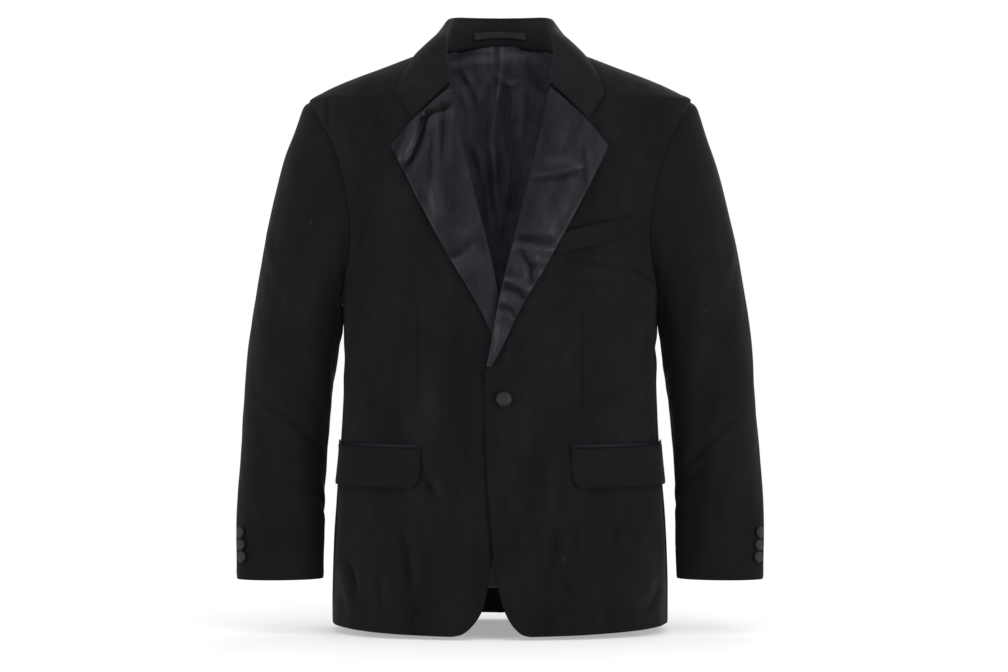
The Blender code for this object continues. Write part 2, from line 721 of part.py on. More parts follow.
def collar_panel():
    """Rows of the collar, one for each section: up the stand, over the fold and down the fall."""
    rows = []
    for frame in collar_frames():
        _, fold, edge, out, down, tangent = frame
        row = [(stand_face(frame, share), -out) for share in (0.0, 0.5)]
        for turn in COLLAR_FOLD_TURNS:
            a = math.radians(turn)
            way = out * math.cos(a) - down * math.sin(a)
            row.append((fold + way * COLLAR_FOLD_RADIUS, way))
        fall_top = fold + out * COLLAR_FOLD_RADIUS
        run = edge - fall_top
        face = run.cross(tangent).normalized()
        face = face if face.dot(out) > 0 else -face
        for share in COLLAR_FALL_SHARES:
            belly = COLLAR_BELLY * math.sin(math.pi * share)
            point = brought_to(fall_top + run * share + face * belly, COLLAR_REST, only_out=True)
            row.append((point, face))
        rows.append(row)
    return rows


def flap_panel(side, top_front, top_back, depth, corner, thickness):
    """Rows of a strip that lies on the front: a flap with round lower corners, or a jetting."""
    front_angle = angle_of(FLAP_FRONT_LEFT_X if side > 0 else FLAP_FRONT_RIGHT_X, FLAP_TOP)
    levels = FLAP_ROWS if corner else 1
    rows = []
    for i in range(levels + 1):
        down = i / levels
        row = []
        for j in range(FLAP_COLUMNS + 1):
            share = 0.5 - math.cos(math.pi * j / FLAP_COLUMNS) / 2
            angle = blend(front_angle, FLAP_BACK_ANGLE, share)
            run = min(share, 1 - share) * (FLAP_BACK_ANGLE - front_angle) * FLAP_REACH
            cut = corner - math.sqrt(max(corner**2 - max(corner - run, 0.0) ** 2, 0.0)) if corner else 0.0
            height = blend(top_front, top_back, share) - (depth - cut) * down
            row.append(on_body(angle, height, side, LAID_GAP + thickness))
        rows.append(row)
    return rows


def welt_panel():
    """Rows of the breast pocket's welt on the left front."""
    rows = []
    for i in range(2):
        row = []
        for j in range(WELT_COLUMNS + 1):
            share = j / WELT_COLUMNS
            x = blend(WELT_FRONT_X, WELT_BACK_X, share)
            height = blend(WELT_FRONT_HEIGHT, WELT_BACK_HEIGHT, share) - WELT_DEPTH * i
            row.append(on_front(x, height, 1, LAID_GAP + WELT_WALL))
        rows.append(row)
    return rows


def lining_panel():
    """Rows of the back's lining inside the two backs, with its centre pleat and soft waves."""
    source = back_panel(1)
    foot = [between(a, b, LINING_FOOT) for a, b in zip(source[0], source[1])]
    top = [between(a, b, LINING_TOP) for a, b in zip(source[-2], source[-1])]
    rows = []
    for i, cloth in enumerate([foot] + source[1:-1] + [top]):
        fine = []
        for j in range(LINING_COLUMNS):
            fine.append(cloth[j])
            if j < PLEAT_COLUMNS:
                fine.append(between(cloth[j], cloth[j + 1], 0.5))
        fine.append(cloth[LINING_COLUMNS])
        calm = ease((len(source) - 1 - i) / LINING_CALM_ROWS)
        half = []
        for point, normal in fine:
            pleat = PLEAT_DEPTH * math.exp(-((point.x / PLEAT_HALF_WIDTH) ** 2))
            wave = WAVE_DEPTH * (1 - math.cos(TURN * point.x / WAVE_LENGTH)) / 2
            half.append((point - normal * (CLOTH + LINING_CLEAR + (pleat + wave) * calm), normal))
        half[0] = (Vector((0, half[0][0].y, half[0][0].z)), half[0][1])
        rows.append([(mirrored(p, -1), mirrored(n, -1)) for p, n in half[:0:-1]] + half)
    return rows


def between(a, b, share):
    """A place on the straight line between two (point, normal) pairs."""
    return a[0].lerp(b[0], share), a[1].lerp(b[1], share).normalized()


def hanger_loop():
    """Rows of the loop sewn inside the collar's stand."""
    frames = collar_frames()
    middle = len(frames) // 2
    near = frames[middle - LOOP_NEAR_SECTIONS : middle + LOOP_NEAR_SECTIONS + 1]
    rows = []
    for share in (LOOP_FROM, LOOP_TO):
        points = [stand_face(frame, share) for frame in near]
        across = [p.x for p in points]
        row = []
        for j in range(LOOP_COLUMNS + 1):
            x = LOOP_WIDTH * (j / LOOP_COLUMNS - 0.5)
            y, z = (along_table(across, [p[k] for p in points], x) for k in (1, 2))
            bow = LOOP_BOW * (1 - (2 * x / LOOP_WIDTH) ** 4)
            row.append((Vector((x, y - LAID_GAP - LOOP_WALL - bow, z)), Vector((0, -1, 0))))
        rows.append(row)
    return rows


def button_profile(diameter):
    """Half the outline of a cloth-covered button, from the middle of its domed face round to its back."""
    radius = diameter / 2
    mesh = bpy.data.meshes.new("button_profile")
    points = [(share * radius, 0.0, height * BUTTON_DOME) for share, height in BUTTON_OUTLINE]
    mesh.from_pydata(points, [(k, k + 1) for k in range(len(points) - 1)], [])
    return mesh


def button(name, profile, point, normal, collection, finish):
    """A cloth-covered button turned from its profile and set square to the cloth."""
    made = bpy.data.objects.new(name, profile)
    collection.objects.link(made)
    made.location = point + normal * LAID_GAP
    made.rotation_mode = "QUATERNION"
    made.rotation_quaternion = Vector((0, 0, 1)).rotation_difference(normal)
    if not profile.materials:
        profile.materials.append(finish)
    turned = made.modifiers.new("turned", "SCREW")
    turned.steps = BUTTON_SIDES
    turned.render_steps = BUTTON_SIDES
    turned.use_merge_vertices = True
    turned.merge_threshold = BUTTON_MERGE
    turned.use_smooth_shade = True
    return made


def cuff_buttons(side, name, profile, collection, finish):
    """The buttons in a row above the cuff, beside the hind seam."""
    length = (sleeve_point(0, 1.0) - sleeve_point(0, 0.9)).length / 0.1
    sample = HINDARM_SAMPLE - ARMHOLE_SAMPLES + CUFF_BUTTON_FROM_SEAM / CUFF_GIRTH * ARMHOLE_SAMPLES
    for k in range(CUFF_BUTTONS):
        along = 1 - (CUFF_BUTTON_FROM_EDGE + k * CUFF_BUTTON_PITCH) / length
        point, normal = sleeve_point(sample, along), sleeve_normal(sample, along)
        point = point + normal * CUFF_BUTTON_LIFT
        button(f"{name}_{k + 1}", profile, mirrored(point, side), mirrored(normal, side), collection, finish)


def main():
    """Builds every piece of the jacket."""
    for old in list(bpy.data.objects):
        bpy.data.objects.remove(old)
    jacket = bpy.data.collections.new("dinner_jacket")
    bpy.context.scene.collection.children.link(jacket)
    wool = material("black_wool", (0.013, 0.013, 0.014), 0.85, 0.15)
    satin = material("black_satin", (0.026, 0.028, 0.032), 0.38)
    lining = material("plum_lining", (0.024, 0.020, 0.027), 0.45)
    covered = material("covered_button", (0.030, 0.030, 0.033), 0.55)

    small_profile = button_profile(CUFF_BUTTON)
    for side, name in ((1, "left"), (-1, "right")):
        wall(f"front_{name}", front_panel(side), CLOTH, jacket, wool)
        wall(f"side_{name}", side_panel(side), CLOTH, jacket, wool)
        wall(f"back_{name}", back_panel(side), CLOTH, jacket, wool)
        top_sleeve = sleeve_panel(HINDARM_SAMPLE - ARMHOLE_SAMPLES, FOREARM_SAMPLE, side)
        under_sleeve = sleeve_panel(FOREARM_SAMPLE, HINDARM_SAMPLE, side)
        wall(f"top_sleeve_{name}", top_sleeve, CLOTH, jacket, wool)
        wall(f"under_sleeve_{name}", under_sleeve, CLOTH, jacket, wool)
        wall(f"lapel_{name}", lapel_panel(side), SATIN, jacket, satin)
        flap = flap_panel(side, FLAP_TOP, FLAP_TOP_BACK, FLAP_DEPTH, FLAP_CORNER, FLAP_WALL)
        wall(f"flap_{name}", flap, FLAP_WALL, jacket, wool)
        above = SEAM_GAP + JET_HEIGHT
        jet = flap_panel(side, FLAP_TOP + above, FLAP_TOP_BACK + above, JET_HEIGHT, 0.0, JET_WALL)
        wall(f"jetting_{name}", jet, JET_WALL, jacket, satin)
        cuff_buttons(side, f"cuff_button_{name}", small_profile, jacket, covered)

    wall("collar", collar_panel(), COLLAR_CLOTH, jacket, wool)
    wall("breast_welt", welt_panel(), WELT_WALL, jacket, wool)
    wall("lining_back", lining_panel(), LINING, jacket, lining, LINING_COLUMNS + PLEAT_COLUMNS)
    wall("hanger_loop", hanger_loop(), LOOP_WALL, jacket, wool)
    place, facing = on_front(FRONT_BUTTON_X, FRONT_BUTTON_HEIGHT, 1, FRONT_BUTTON_SHANK)
    button("front_button", button_profile(FRONT_BUTTON), place, facing, jacket, covered)


main()
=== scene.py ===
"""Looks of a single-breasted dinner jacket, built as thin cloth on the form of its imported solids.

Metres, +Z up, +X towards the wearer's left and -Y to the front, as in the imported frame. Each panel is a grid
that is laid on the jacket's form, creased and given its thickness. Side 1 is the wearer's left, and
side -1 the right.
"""

import logging
import math
from dataclasses import dataclass, field
from enum import Enum
from functools import cache, cached_property
from typing import Any, NamedTuple, Sequence

import bmesh
import bpy
import numpy as np
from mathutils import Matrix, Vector


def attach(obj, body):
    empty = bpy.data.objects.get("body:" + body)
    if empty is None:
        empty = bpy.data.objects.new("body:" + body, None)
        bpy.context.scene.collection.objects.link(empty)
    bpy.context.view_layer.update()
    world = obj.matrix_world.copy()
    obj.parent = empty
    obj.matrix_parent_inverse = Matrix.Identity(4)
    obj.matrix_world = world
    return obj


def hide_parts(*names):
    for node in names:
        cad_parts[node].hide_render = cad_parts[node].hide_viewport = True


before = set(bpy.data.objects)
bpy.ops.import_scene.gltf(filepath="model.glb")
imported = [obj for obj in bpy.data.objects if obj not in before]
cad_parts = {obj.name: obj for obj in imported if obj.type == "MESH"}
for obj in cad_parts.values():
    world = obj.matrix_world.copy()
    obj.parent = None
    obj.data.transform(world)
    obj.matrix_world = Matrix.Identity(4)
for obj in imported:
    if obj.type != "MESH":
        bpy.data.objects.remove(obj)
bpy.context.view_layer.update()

Array = np.ndarray
TURN = 2 * math.pi
QUARTER = math.pi / 2
BODY = "root"

# Thickness of the cloths
CLOTH = 0.0020
SATIN = 0.0018
LINING = 0.0010

# How neighbouring pieces meet: the gap in a seam, the press that closes it, and the gap under a laid piece
SEAM_GAP = 0.0003
SEAM_PRESS = 0.0001
BODY_REACH = 0.200
NECK_REACH = 0.120
PRESS_ANGLE = SEAM_PRESS / BODY_REACH
LAID_GAP = 0.0012
TOP_PRESS = 0.015
TINY = 1e-6

# How the painted shade darkens: the depth of a drawn line at full strength, the width of a dark edge, and the
# limits of the painted light and shade
FULL_LINE = 0.0012
DARK_EDGE = 0.0016
DARKEST = -1.2
LIGHTEST = 1.0

# Radius that every button's cloth is laid out to
UV_RADIUS = 0.0100

# Flecks of lint on the fronts
FLECKS = (
    (0.1150, -0.0808, -0.0102),
    (0.1195, -0.0805, -0.0110),
    (0.1591, -0.1027, -0.2393),
    (0.0559, -0.1428, -0.6058),
    (0.0783, -0.1395, -0.6033),
    (-0.0857, -0.1265, -0.4244),
)

log = logging.getLogger("dinner_jacket")


def blend(a: Any, b: Any, share: Any) -> Any:
    """The value that lies a share of the way from a to b."""
    return a + (b - a) * share


def ease(value: Any) -> Array:
    """A smooth step from 0 to 1."""
    value = np.clip(value, 0.0, 1.0)
    return value * value * (3 - 2 * value)


def hump(value: Any) -> Array:
    """A soft bell, 1 at 0 and fading within about 2 either way."""
    return np.exp(-np.square(value))


def at_top(share: Array, reach: float) -> Array:
    """0 over a piece, rising to 1 over the last part of its length."""
    return ease((share - 1 + reach) / reach)


def unit(vectors: Array) -> Array:
    """The vectors at length 1."""
    return vectors / np.maximum(np.linalg.norm(vectors, axis=-1, keepdims=True), TINY**2)


def dot(a: Array, b: Array) -> Array:
    """Row by row dot product, kept as a column."""
    return np.sum(a * b, axis=-1, keepdims=True)


def mirrored(vectors: Array, side: int) -> Array:
    """The vectors themselves on the wearer's left, or their mirror images."""
    return vectors * np.array((side, 1, 1))


class Track:
    """A smooth curve through a short table, with no overshoot between its rows."""

    def __init__(self, keys: Sequence[float], values: Sequence[float]) -> None:
        """Takes the rows of the table.

        Args:
            keys: rising places.
            values: the value at each place.
        """
        self.keys = np.array(keys, float)
        self.values = np.array(values, float)
        rises = np.diff(self.values) / np.diff(self.keys)
        before, after = rises[:-1], rises[1:]
        same_way = before * after > 0
        total = np.where(same_way, before + after, 1.0)
        inner = np.where(same_way, 2 * before * after / total, 0.0)
        self.slopes = np.concatenate((rises[:1], inner, rises[-1:]))

    def __call__(self, at: Array) -> Array:
        """The curve's value at each place."""
        at = np.clip(at, self.keys[0], self.keys[-1])
        i = np.clip(np.searchsorted(self.keys, at, side="right") - 1, 0, len(self.keys) - 2)
        step = self.keys[i + 1] - self.keys[i]
        t = (at - self.keys[i]) / step
        return (
            self.values[i] * (1 + 2 * t) * (1 - t) ** 2
            + self.values[i + 1] * t * t * (3 - 2 * t)
            + self.slopes[i] * step * t * (1 - t) ** 2
            - self.slopes[i + 1] * step * t * t * (1 - t)
        )


def through(keys: Array, at: Array) -> Array:
    """A smooth curve through each row's own key points.

    Args:
        keys: (rows, key points, 3) places or directions.
        at: for each row, how far along its keys, in steps from key to key.

    Returns:
        One place or direction for each row.
    """
    last = keys.shape[1] - 1
    i = np.clip(np.floor(at).astype(int), 0, last - 1)
    t = (at - i)[:, None]
    row = np.arange(len(at))

    def rise(k: Array) -> Array:
        """The way from each row's key k to the next."""
        k = np.clip(k, 0, last - 1)
        return keys[row, k + 1] - keys[row, k]

    def slope(k: Array) -> Array:
        """The curve's direction at key k."""
        return (rise(k - 1) + rise(k)) / 2

    a, b = keys[row, i], keys[row, i + 1]
    swing = slope(i) * t * (1 - t) ** 2 - slope(i + 1) * t * t * (1 - t)
    return a * (1 + 2 * t) * (1 - t) ** 2 + b * t * t * (3 - 2 * t) + swing


class Section(NamedTuple):
    """A level section of the body: half its width, and its depth to the front and back."""

    height: float
    half_width: float
    front: float
    back: float


@dataclass(frozen=True)
class BodyForm:
    """The worn body of the jacket as level sections with round corners."""

    sections: tuple[Section, ...] = (
        Section(-0.720, 0.2165, 0.1480, 0.1380),
        Section(-0.620, 0.2141, 0.1460, 0.1340),
        Section(-0.530, 0.2096, 0.1410, 0.1240),
        Section(-0.430, 0.2030, 0.1340, 0.1110),
        Section(-0.370, 0.2008, 0.1315, 0.1065),
        Section(-0.300, 0.2018, 0.1345, 0.1130),
        Section(-0.265, 0.2062, 0.1365, 0.1190),
        Section(-0.200, 0.2220, 0.1370, 0.1290),
        Section(-0.150, 0.2370, 0.1320, 0.1330),
        Section(-0.100, 0.2490, 0.1215, 0.1310),
        Section(-0.050, 0.2530, 0.1060, 0.1255),
        Section(-0.0225, 0.2457, 0.0935, 0.1200),
        Section(-0.0129, 0.2300, 0.0870, 0.1175),
        Section(-0.0026, 0.2090, 0.0800, 0.1150),
        Section(0.0077, 0.1838, 0.0725, 0.1120),
        Section(0.0181, 0.1560, 0.0640, 0.1075),
        Section(0.0284, 0.1296, 0.0550, 0.1025),
        Section(0.0380, 0.1050, 0.0450, 0.0970),
        Section(0.0485, 0.0780, 0.0330, 0.0910),
        Section(0.0585, 0.0500, 0.0200, 0.0850),
        Section(0.0700, 0.0200, 0.0080, 0.0780),
    )
    square: float = 2.4
    widest: float = 0.9999
    rounds: int = 4

    @cached_property
    def tracks(self) -> list[Track]:
        """Half width, front depth and back depth over the height."""
        heights = [s.height for s in self.sections]
        return [Track(heights, [s[k] for s in self.sections]) for k in (1, 2, 3)]

    def at_height(self, height: Array) -> list[Array]:
        """Half width, front depth and back depth at each height."""
        return [track(height) for track in self.tracks]

    def point(self, angle: Array, height: Array) -> Array:
        """Places on the outer face.

        Args:
            angle: turn from the centre front at 0 to the centre back at half a turn.
            height: height over the shoulders' level.

        Returns:
            A place for each pair.
        """
        angle, height = np.broadcast_arrays(np.asarray(angle, float), np.asarray(height, float))
        half_width, front, back = self.at_height(height)
        depth = np.where(np.cos(angle) > 0, front, back)
        across = np.abs(np.sin(angle) / half_width) ** self.square
        ahead = np.abs(np.cos(angle) / depth) ** self.square
        radius = (across + ahead) ** (-1 / self.square)
        return np.stack((radius * np.sin(angle), -radius * np.cos(angle), height), axis=-1)

    def normal(self, angle: Array, height: Array) -> Array:
        """Outward directions of the outer face."""
        turn, rise = 0.01, 0.002
        top = np.minimum(height + rise, self.sections[-1].height)
        round_it = self.point(angle + turn, height) - self.point(angle - turn, height)
        up_it = self.point(angle, top) - self.point(angle, height - rise)
        return unit(np.cross(round_it, up_it))

    def angle_at(self, x: Array, height: Array) -> Array:
        """The angles at which the front of the body has these x."""
        half_width, front, _ = self.at_height(height)
        share = np.minimum(np.abs(x) / half_width, self.widest)
        y = front * (1 - share**self.square) ** (1 / self.square)
        return np.copysign(np.arctan2(np.abs(x), y), x)

    def off(self, points: Array) -> tuple[Array, Array]:
        """How far places near the outer face stand off it.

        Args:
            points: the places.

        Returns:
            Their distances, below 0 inside the body, and the outward directions there.
        """

        def ratio(places: Array) -> Array:
            """Below 1 inside the body and above 1 outside it."""
            half_width, front, back = self.at_height(places[:, 2])
            depth = np.where(places[:, 1] < 0, front, back)
            across = np.abs(places[:, 0] / half_width) ** self.square
            return (across + np.abs(places[:, 1] / depth) ** self.square) ** (1 / self.square)

        step = 0.0005
        rises = [ratio(points + d) - ratio(points - d) for d in np.eye(3) * step]
        slope = np.stack(rises, axis=-1) / (2 * step)
        length = np.linalg.norm(slope, axis=-1, keepdims=True)
        return (ratio(points)[:, None] - 1) / length, slope / length

    def brought_to(self, points: Array, lift: float, only_out: bool = False) -> Array:
        """Moves places to a given distance from the outer face.

        Args:
            points: the places.
            lift: the distance.
            only_out: leaves alone the places that are further out.

        Returns:
            The moved places.
        """
        for _ in range(self.rounds):
            distance, out = self.off(points)
            step = lift - distance
            points = points + out * (np.maximum(step, 0.0) if only_out else step)
        return points


class CollarRow(NamedTuple):
    """A section of the collar: neck seam, fold line and outer edge."""

    neck_x: float
    neck_y: float
    neck_z: float
    fold_x: float
    fold_y: float
    fold_z: float
    edge_x: float
    edge_y: float
    edge_z: float


@dataclass(frozen=True)
class JacketForm:
    """Where the cut lines of the jacket lie on the worn body."""

    body: BodyForm = BodyForm()
    hem_front: float = -0.6985
    hem_side: float = -0.6925
    hem_back: float = -0.6945
    hem_fade: float = 0.100
    shoulder_tip: float = -0.0225
    neck_point: float = 0.0485
    neck_back: float = 0.0585
    armhole_middle: float = -0.1485
    armhole_half_height: float = 0.1260
    armhole_front: float = math.radians(24.5)
    armhole_back: float = math.radians(25.0)
    armhole_skew: float = 0.17
    samples: int = 24
    front_seam: int = 11
    back_seam: int = 15
    lap_low: float = CLOTH + 2 * SEAM_GAP
    lap_at_lapel: float = 0.0098
    lap_full_x: float = 0.030
    lap_end_x: float = 0.085
    lapel_foot: float = -0.400
    lapel_rise: float = 0.035
    lap_fade_from: float = -0.250
    lap_fade: float = 0.130
    collar: tuple[CollarRow, ...] = (
        CollarRow(0.0674, -0.0827, -0.0095, 0.0660, -0.0830, -0.0088, 0.1100, -0.1035, -0.0532),
        CollarRow(0.0702, -0.0686, 0.0083, 0.0683, -0.0700, 0.0115, 0.1310, -0.0865, -0.0230),
        CollarRow(0.0722, -0.0557, 0.0220, 0.0710, -0.0560, 0.0310, 0.1265, -0.0700, -0.0020),
        CollarRow(0.0755, -0.0381, 0.0360, 0.0720, -0.0370, 0.0530, 0.1170, -0.0480, 0.0190),
        CollarRow(0.0780, 0.0000, 0.0485, 0.0685, 0.0010, 0.0705, 0.1015, 0.0040, 0.0390),
        CollarRow(0.0750, 0.0300, 0.0497, 0.0655, 0.0320, 0.0830, 0.0920, 0.0450, 0.0430),
        CollarRow(0.0590, 0.0600, 0.0513, 0.0520, 0.0595, 0.0880, 0.0712, 0.0780, 0.0440),
        CollarRow(0.0310, 0.0795, 0.0560, 0.0290, 0.0770, 0.0892, 0.0400, 0.0960, 0.0435),
        CollarRow(0.0000, 0.0850, 0.0585, 0.0000, 0.0830, 0.0895, 0.0000, 0.1000, 0.0430),
    )

    @cached_property
    def collar_tracks(self) -> list[Track]:
        """Each column of the collar's table over its rows."""
        keys = range(len(self.collar))
        return [Track(keys, [row[k] for row in self.collar]) for k in range(9)]

    def neckline(self, at: Array) -> Array:
        """Places of the neck seam on the body, from the gorge at 0 to the centre back."""
        places = np.stack([track(at) for track in self.collar_tracks[:3]], axis=-1)
        return self.body.brought_to(places, 0.0)

    def armhole(self, sample: Array) -> tuple[Array, Array]:
        """Where the armhole's edge runs.

        Args:
            sample: steps round it, from the shoulder tip at 0 down its front and up its back.

        Returns:
            Angles and heights.
        """
        phi = TURN * np.asarray(sample, float) / self.samples
        reach = np.where(np.sin(phi) > 0, self.armhole_front, self.armhole_back)
        angle = QUARTER - reach * np.sin(phi) * (1 - self.armhole_skew * np.cos(phi))
        return angle, self.armhole_middle + self.armhole_half_height * np.cos(phi)

    def lap(self, x: Array, height: Array, side: int) -> Array:
        """How far a front stands out near the closing: only the left one, which lies on top.

        Args:
            x: distance to the front's own side.
            height: height over the shoulders' level.
            side: which front.

        Returns:
            The distance at each place.
        """
        if side < 0:
            return np.zeros_like(x)
        over_lapel = ease((height - self.lapel_foot) / self.lapel_rise)
        full = blend(self.lap_low, self.lap_at_lapel, over_lapel)
        full = full * (1 - ease((height - self.lap_fade_from) / self.lap_fade))
        return full * (1 - ease((x - self.lap_full_x) / (self.lap_end_x - self.lap_full_x)))

    def on(self, angle: Array, height: Array, side: int, out: Any = 0.0) -> tuple[Array, Array]:
        """Places and normals on one side of the body, moved out.

        Args:
            angle: turn from the centre front.
            height: height over the shoulders' level.
            side: 1 for the wearer's left, -1 for the right.
            out: distance from the body's face.
        """
        point, normal = self.body.point(angle, height), self.body.normal(angle, height)
        lapped = np.where(np.abs(angle) < QUARTER, self.lap(point[..., 0], height, side), 0.0)
        point = point + normal * (np.asarray(out) + lapped)[..., None]
        return mirrored(point, side), mirrored(normal, side)

    def on_front(self, x: Array, height: Array, side: int, out: Any = 0.0) -> tuple[Array, Array]:
        """The same for places given in the front view."""
        return self.on(self.body.angle_at(x, height), height, side, out)


class Ring(NamedTuple):
    """A ring of the sleeve: its ends in the front view, and its reach to the front and back of its middle."""

    along: float
    outer_x: float
    outer_z: float
    inner_x: float
    inner_z: float
    front: float
    back: float
    middle_y: float


class SoftFold(NamedTuple):
    """A soft fold round a sleeve."""

    along: float
    turn: float
    depth: float
    half_length: float
    half_width: float
    slope: float


@dataclass(frozen=True)
class SleeveForm:
    """The left sleeve as rings that begin as the armhole and turn into leaning ellipses."""

    jacket: JacketForm = JacketForm()
    rings: tuple[Ring, ...] = (
        Ring(0.00, 0.2457, -0.0225, 0.2050, -0.2745, 0.0830, 0.0900, 0.0020),
        Ring(0.03, 0.2535, -0.0335, 0.2062, -0.2775, 0.0840, 0.0900, 0.0020),
        Ring(0.07, 0.2651, -0.0645, 0.2054, -0.2820, 0.0850, 0.0890, 0.0020),
        Ring(0.13, 0.2767, -0.0955, 0.2043, -0.2890, 0.0845, 0.0870, 0.0025),
        Ring(0.20, 0.2896, -0.1419, 0.2034, -0.3010, 0.0820, 0.0835, 0.0030),
        Ring(0.30, 0.3038, -0.2038, 0.2048, -0.3180, 0.0775, 0.0790, 0.0035),
        Ring(0.40, 0.3141, -0.2657, 0.2085, -0.3360, 0.0740, 0.0750, 0.0040),
        Ring(0.50, 0.3231, -0.3277, 0.2105, -0.3620, 0.0700, 0.0700, 0.0035),
        Ring(0.62, 0.3296, -0.4051, 0.2163, -0.4180, 0.0630, 0.0620, 0.0010),
        Ring(0.74, 0.3341, -0.4786, 0.2232, -0.4850, 0.0540, 0.0530, -0.0060),
        Ring(0.87, 0.3386, -0.5624, 0.2255, -0.5650, 0.0440, 0.0430, -0.0190),
        Ring(1.00, 0.3368, -0.6349, 0.2252, -0.6340, 0.0365, 0.0355, -0.0350),
    )
    settle: float = 0.34
    clear: float = -0.0003
    near_from: float = 0.03
    near_to: float = 0.50
    near_fade: float = 0.10
    rounds: int = 3
    twist: float = math.radians(70.0)
    twist_from: float = 0.25
    forearm: int = 9
    hindarm: int = 20
    girth: float = 0.400
    cuff_girth: float = 0.300

    @cached_property
    def tracks(self) -> list[Track]:
        """Each column of the rings' table along the sleeve."""
        places = [ring.along for ring in self.rings]
        return [Track(places, [ring[k] for ring in self.rings]) for k in range(1, 8)]

    @staticmethod
    def ellipse(ring: Sequence[Array], phi: Array) -> Array:
        """Places on a ring that leans in the front view and is upright in the side view."""
        outer_x, outer_z, inner_x, inner_z, front, back, middle_y = ring
        half = np.cos(phi) / 2
        reach = np.where(np.sin(phi) > 0, -front * np.sin(phi), -back * np.sin(phi))
        x = (outer_x + inner_x) / 2 + (outer_x - inner_x) * half
        z = (outer_z + inner_z) / 2 + (outer_z - inner_z) * half
        return np.stack((x, middle_y + reach, z), axis=-1)

    def point(self, sample: Array, along: Array) -> Array:
        """Places on the left sleeve's outer face.

        Args:
            sample: steps round it, as round the armhole.
            along: shares down it, from the armhole at 0 to the cuff at 1.

        Returns:
            A place for each pair.
        """
        body, ring = self.jacket.body, [track(along) for track in self.tracks]
        phi = TURN * sample / self.jacket.samples
        turned = phi + self.twist * ease((along - self.twist_from) / (1 - self.twist_from))
        settled = (1 - np.minimum(along / self.settle, 1.0)) ** 2
        loop = body.point(*self.jacket.armhole(sample))
        place = self.ellipse(ring, turned) + (loop - self.ellipse(self.rings[0][1:], phi)) * settled[:, None]
        near = np.clip(along / self.near_from, 0.0, 1.0) * (1 - ease((along - self.near_to) / self.near_fade))
        for _ in range(self.rounds):
            distance, out = body.off(place)
            short = np.maximum(self.clear * near[:, None] - distance, 0.0) * (near > 0)[:, None]
            place = place + out * short
        return place

    def normal(self, sample: Array, along: Array) -> Array:
        """Outward directions of the sleeve's face."""
        aside, ahead = 0.25, 0.01
        low, high = np.maximum(along - ahead, 0.0), np.minimum(along + ahead, 1.0)
        round_it = self.point(sample + aside, along) - self.point(sample - aside, along)
        down_it = self.point(sample, high) - self.point(sample, low)
        return unit(np.cross(round_it, down_it))

    def off_the_seam(self, sample: Array) -> tuple[Array, Array]:
        """Direction off the armhole's edge towards the sleeve, and the body's outward direction there."""
        body, hole = self.jacket.body, self.jacket.armhole
        ahead = body.point(*hole(sample + 0.5)) - body.point(*hole(sample - 0.5))
        normal = body.normal(*hole(sample))
        return -unit(np.cross(ahead, normal)), normal


class CreaseKind(Enum):
    """How the cloth breaks along a crease."""

    TROUGH = "trough"
    RIDGE = "ridge"
    STEP = "step"


TROUGH, RIDGE, STEP = CreaseKind


class Bank(NamedTuple):
    """The soft bank beside a crease: its share of the depth, and its place and width in half widths."""

    share: float
    away: float
    half_width: float

    def height(self, aside: Array) -> Array:
        """How high the bank stands at each distance from the crease's middle."""
        return self.share * hump((np.abs(aside) - self.away) / self.half_width)


BESIDE_TROUGH = Bank(0.45, 2.1, 1.1)
BESIDE_RIDGE = Bank(0.30, 2.2, 1.2)
STEP_SLOPE = 1.6
CREASE_OVERRUN = 0.15
CREASE_RUN_OUT = 0.40


class Fade(NamedTuple):
    """How creases fade over a piece: shares for their rise and fall, after a bare margin. 0 is no fade."""

    rise: float
    fall: float
    margin: float = 0.0

    def at(self, share: Array) -> Array:
        """The creases' strength at each share across or along the piece."""
        rise = ease((share - self.margin) / self.rise) if self.rise else 1.0
        return rise * (ease((1 - share) / self.fall) if self.fall else 1.0)


class Crease(NamedTuple):
    """A crease between two places of a flat view, with its depth, half width and bow to one side."""

    start_x: float
    start_z: float
    end_x: float
    end_z: float
    depth: float
    half_width: float
    bow: float
    kind: CreaseKind

    def height(self, x: Array, z: Array) -> Array:
        """How far the crease moves the cloth out.

        Args:
            x: places across the flat view.
            z: places up it.

        Returns:
            The height at each place.
        """
        run_x, run_z = self.end_x - self.start_x, self.end_z - self.start_z
        length = math.hypot(run_x, run_z)
        along = ((x - self.start_x) * run_x + (z - self.start_z) * run_z) / length**2
        aside = ((z - self.start_z) * run_x - (x - self.start_x) * run_z) / length
        middle = np.clip(along, 0.0, 1.0)
        aside = (aside - self.bow * 4 * middle * (1 - middle)) / self.half_width
        fade = ease((along + CREASE_OVERRUN) / CREASE_RUN_OUT)
        fade = fade * ease((1 + CREASE_OVERRUN - along) / CREASE_RUN_OUT)
        if self.kind is CreaseKind.TROUGH:
            shape = BESIDE_TROUGH.height(aside) - hump(aside)
        elif self.kind is CreaseKind.RIDGE:
            shape = hump(aside) - BESIDE_RIDGE.height(aside)
        else:
            shape = STEP_SLOPE * aside * hump(aside)
        return shape * fade * self.depth


@dataclass(frozen=True)
class Ripple:
    """Slow uneven waves in hanging cloth."""

    seed: int
    depth: float
    length: float
    upright: float = 2.2
    waves: int = 9
    pace: tuple[float, float] = (0.7, 1.6)
    lean: float = 0.5

    def height(self, x: Array, z: Array) -> Array:
        """How far the waves move the cloth out at each place."""
        dice = np.random.default_rng(self.seed)
        total = np.zeros_like(x)
        for _ in range(self.waves):
            pace = TURN / (self.length * dice.uniform(*self.pace))
            lean = dice.normal(0.0, self.lean)
            phase = dice.uniform(0, TURN)
            total += np.sin(pace * (x * math.cos(lean) + z * math.sin(lean) / self.upright) + phase)
        return total * self.depth / math.sqrt(self.waves)


